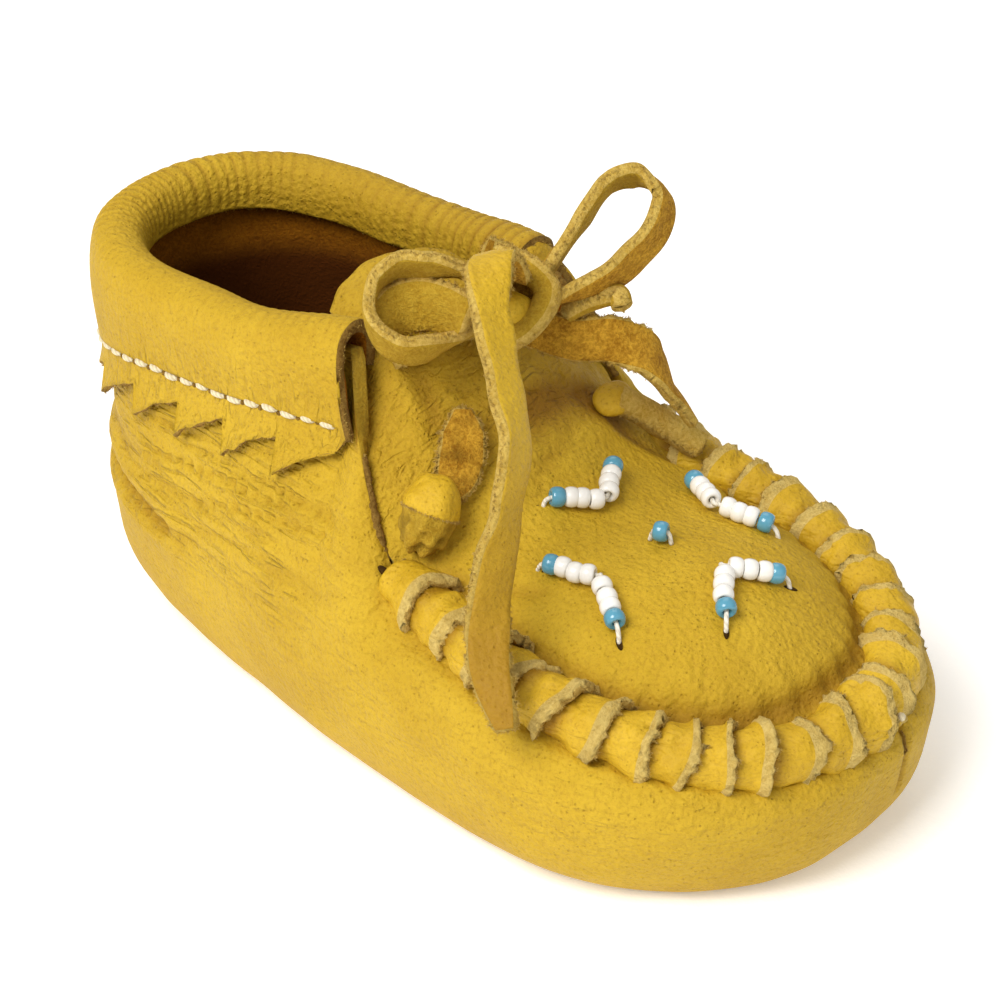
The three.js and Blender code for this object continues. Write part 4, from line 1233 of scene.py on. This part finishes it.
# pale stitches along the cuff's lower edge, with a dark spot after each: painted shade of the needle hole
stitchLook = {"pitch": 2.9, "long": (1.9, 2.7), "radius": 0.4, "off": 1.85, "down": 0.3, "sink": 0.75,
              "slope": 0.12, "hole": (0.4, 0.35, 0.4)}


def stitchLine(signed):
    run = np.abs(signed)
    at = wallAtHeight(run, stitchHeight(run) - stitchLook["down"])
    return sided(at + outward(run) * stitchLook["off"], sideOf(signed))


def stitches():
    count, runAt = evenRuns(stitchLine, stitchLook["pitch"])
    piece = Piece("cuffStitches")
    bend = np.linspace(-1, 1, 9)
    for k in range(count):
        share = rng.uniform(*stitchLook["long"]) / stitchLook["pitch"]
        signed = runAt(k + 0.5 + bend / 2 * share)
        line = stitchLine(signed)
        line[:, 2] += stitchLook["slope"] * bend + rng.normal(0, 0.1)
        out = sided(outward(np.abs(signed)), sideOf(signed))
        line = line - out * (stitchLook["sink"] * np.abs(bend) ** 3)[:, None]
        addRod(piece, line, stitchLook["radius"] * (1 - 0.45 * np.abs(bend) ** 4), creamSkin, 8)
        hole = stitchLine(runAt(np.array([k + 1.0])))[0] - out[-1] * 0.35 - 0.2 * upward
        addLump(piece, lumpGrid(hole, stitchLook["hole"], upward, 6, 8, 0), brownEdgeSkin)
    piece.make("thread")


stitches()


def toeWall(y, z):
    # the wall's place at a height where it is y away from the middle, on the front
    run = np.linspace(2.3, 3, 400)
    line = wallAtHeight(run, np.full(len(run), z))
    return line[np.abs(line[:, 1] - y).argmin()]


def toeThread():
    piece = Piece("toeSeam")
    heights = np.linspace(toeSeam["low"] + 0.5, toeSeam["top"] - 1, 14)
    crack = np.array([toeWall(toeSeam["y"] + toeSeam["slope"] * (toeSeam["top"] - z), z) for z in heights])
    crack[:, 0] -= 0.1
    addRod(piece, crack + rng.normal(0, 0.06, crack.shape), toeSeam["crack"], brownEdgeSkin, 8)
    for dot in toeSeam["dots"]:
        addLump(piece, lumpGrid(dot, np.full(3, toeSeam["dot"]), (0.4, 0.6, 0.6), 8, 10, 0.05), creamSkin)
    piece.make("thread")


toeThread()


# the bar over the tongue, and the knot on it
barLook = {"x": -3.2, "bend": 0.02, "off": 1.2, "lift": 0.003, "across": (0.74, 0, -0.67), "thick": 1.5,
           "y": (-10.5, -7.5, -4, 0, 4, 7.5, 10.5), "fibres": 6}


def tieBar():
    y = np.array(barLook["y"])
    line = onVamp(barLook["x"] - barLook["bend"] * y**2, y, barLook["off"] + barLook["lift"] * y**2)
    face, back, middle = thongGrids(alike(barLook["across"], *line), 50, bow["width"], barLook["thick"], 0.1)
    piece = Piece("tieBar")
    piece.sheet(face, back, (fleshSkin, thongSkin, edgeSkin), 0.3, 0.08, fuzz=barLook["fibres"])
    piece.make("thong", "tie_bar")


knotLook = {"at": (3.5, -0.2, 51.1), "half": (3, 3.3, 2.9), "way": (0.6, 0.5, -0.6), "toward": 0.6,
            "outward": 0.8}
knotBand = [(-1.5, 3.7, 55.6), (3.1, 3.6, 55.4), (6.4, 3.3, 53.9), (7.2, 1, 51.6), (6.2, -1.7, 49.7),
            (3.8, -2.5, 48)]
knotHollow = alike(bow["up"], (-2.6, 1.4, 54.6), (-0.2, 2.8, 53.8), (2.6, 3.6, 52.4), (4.6, 3.4, 51))
knotCurl = alike(bow["out"], (6.4, 6.6, 49.8), (8.8, 9, 51.4), (11, 10.6, 52.2), (12.2, 10, 51.4))
loopFold = alike((-0.2, 0.2, 0.95), *(bowPlace(*row) for row in (
    (6, -1.4, -0.4), (3.6, -0.1, -1.2), (0.8, 0.5, -1.8), (-1.8, -0.2, -1.8), (-3.8, -1.8, -1))))


def bandWay(point):
    # part toward the eye and part away from the knot's middle
    out = np.array(bow["out"])
    radial = np.asarray(point, float) - knotLook["at"]
    radial = unit(radial - out * (radial @ out))
    return unit(knotLook["outward"] * radial + knotLook["toward"] * out)


knotThongs = table(
    ("rows", "width", "thick", "swell", "finish", "shade"),
    ([(point, bandWay(point)) for point in knotBand], 2.7, 1.7, 0.5, suedeSkin, 0.0),
    (knotHollow, 6, 1.2, 0.1, fleshSkin, 0.5),
    (knotCurl, 2.4, 1.8, 0.4, suedeSkin, 0.0),
    (loopFold, 5.6, 1.5, 0.2, suedeSkin, 0.0))


def tieKnot():
    piece = Piece("tieKnot")
    addLump(piece, lumpGrid(knotLook["at"], knotLook["half"], knotLook["way"]), thongSkin)
    for row in knotThongs:
        face, back, line = thongGrids(row["rows"], 46, row["width"], row["thick"], row["swell"])
        finishes = row["finish"], row["finish"], edgeSkin
        piece.sheet(face, back, finishes, 0.35, 0.16, row["shade"], fuzz=bow["fibres"])
    piece.make("thong", "tie_knot")


# the lacing's own ends: a knob with a tail at the near corner, a rolled end with a head at the far one
knobLook = {"at": (8.2, -18.3, 33.7), "half": (3.5, 5, 3.3), "way": (-0.04, 0.54, 0.9), "rows": 34,
            "columns": 48, "split": 17, "step": 0.05, "lumps": 0.09, "fibres": 40}
knobTail = alike((0.75, 0.6, -0.2), (7.9, -15.6, 34.8), (7.6, -13.4, 35.9), (6.9, -11.7, 37.6),
                 (5.6, -10, 39.9), (4.3, -8.7, 41.9))
tailLook = {"widths": (3, 4.2, 4.9, 4.6, 2), "thick": 1.1, "swell": 0.3, "fibres": 40,
            "fuzzColumns": (2, 4, 6)}
firstHole = {"at": (6, -23.9, 27.5), "half": (1.1, 0.6, 1.1), "way": (0, 1, 0.3)}
headLook = {"at": (7.9, 13.7, 35.8), "half": (2.3, 1.2, 2.6), "way": (0.5, -0.35, 0.75), "shade": 0.12}
headEnd = alike((0.7, -0.4, -0.5), (8.2, 14.2, 35.4), (9.5, 15.6, 34.5), (11.2, 17.6, 32.6),
                (13.4, 19.8, 30.6), (15.4, 21.2, 29))
headEndLook = {"width": 2.8, "thick": 2.4, "swell": 0.8, "fibres": 30}


def addKnob(piece):
    at, split = np.array(knobLook["at"]), knobLook["split"]
    grid = lumpGrid(at, knobLook["half"], knobLook["way"], knobLook["rows"], knobLook["columns"], 0.04, 61)
    low = np.clip((split - np.arange(len(grid))) / 3, 0, 1)[:, None]
    lumps = ripple(grid, 2.2, 63) * low
    grid = mix(at, grid, (1 - knobLook["step"] * low + knobLook["lumps"] * lumps)[..., None])
    # the lower rows carry painted shade, less on the raised lumps
    addLump(piece, grid, thongSkin, suedeSkin, split, np.clip(0.16 * low - 0.3 * lumps, 0, 0.5))
    fuzzRows.append((grid[split], unit(grid[split] - at) - 0.6 * upward, knobLook["fibres"]))


def addTail(piece):
    face, back, line = thongGrids(knobTail, 60, tailLook["widths"], tailLook["thick"], tailLook["swell"])
    shade = np.clip(0.08 + 0.3 * ripple(face, 2.5, 64), 0, 0.7)
    piece.sheet(face, back, (fleshSkin, fleshSkin, edgeSkin), 0.25, 0.16, shade, fuzz=tailLook["fibres"])
    for column in tailLook["fuzzColumns"]:
        edge = face[:, column]
        fuzzRows.append((edge, np.broadcast_to(bow["out"], edge.shape), tailLook["fibres"]))


def lacingEnds():
    near = Piece("lacingEndNear")
    addKnob(near)
    addTail(near)
    addLump(near, lumpGrid(firstHole["at"], firstHole["half"], firstHole["way"], 12, 16, 0.15, 65), holeShadeSkin)
    near.make("thong", "lacing_end_near")
    far = Piece("lacingEndFar")
    head = lumpGrid(headLook["at"], headLook["half"], headLook["way"], seed=62)
    addLump(far, head, thongSkin, paintedShadeAndTone=headLook["shade"])
    width, thick, swell = (headEndLook[key] for key in ("width", "thick", "swell"))
    face, back, line = thongGrids(headEnd, 50, width, thick, swell)
    # the tube takes the pale cut-edge finish, paler than its suede: painted light where the bow shades it
    far.sheet(face, back, [edgeSkin] * 3, 0.5, 0.1, fuzz=headEndLook["fibres"])
    far.make("thong", "lacing_end_far")


tieBar()
tieKnot()
lacingEnds()


# short fibres on the cut edges
fuzzLook = {"long": (0.12, 0.42), "thick": 0.06, "spread": 0.8, "jitter": 0.06, "share": 0.6, "longestGap": 3}


def edgeFuzz():
    piece = Piece("edgeFuzz")
    for edge, away, each in fuzzRows:
        gaps = np.linalg.norm(np.diff(edge, axis=0), axis=1)
        gaps = np.where(gaps < fuzzLook["longestGap"], gaps, 0)
        count = int(gaps.sum() * each * fuzzLook["share"])
        pick = rng.choice(len(gaps), count, p=gaps / gaps.sum())
        root = mix(edge[pick], edge[pick + 1], rng.uniform(0, 1, (count, 1)))
        root = root + rng.normal(0, fuzzLook["jitter"], (count, 3))
        way = unit(away[pick] + rng.normal(0, fuzzLook["spread"], (count, 3)))
        tip = root + way * rng.uniform(*fuzzLook["long"], (count, 1))
        first, second = squareTo(way, rng.normal(size=(count, 3)))
        corners = [root + fuzzLook["thick"] * (first * np.cos(t) + second * np.sin(t)) for t in (0, 2.1, 4.2)]
        ids = piece.put(np.stack([*corners, tip], 1))
        for sides in ((0, 1, 3), (1, 2, 3), (2, 0, 3), (0, 2, 1)):
            piece.add(ids[:, sides], fuzzSkin)
    piece.make("cut_edge", smooth=False)


edgeFuzz()
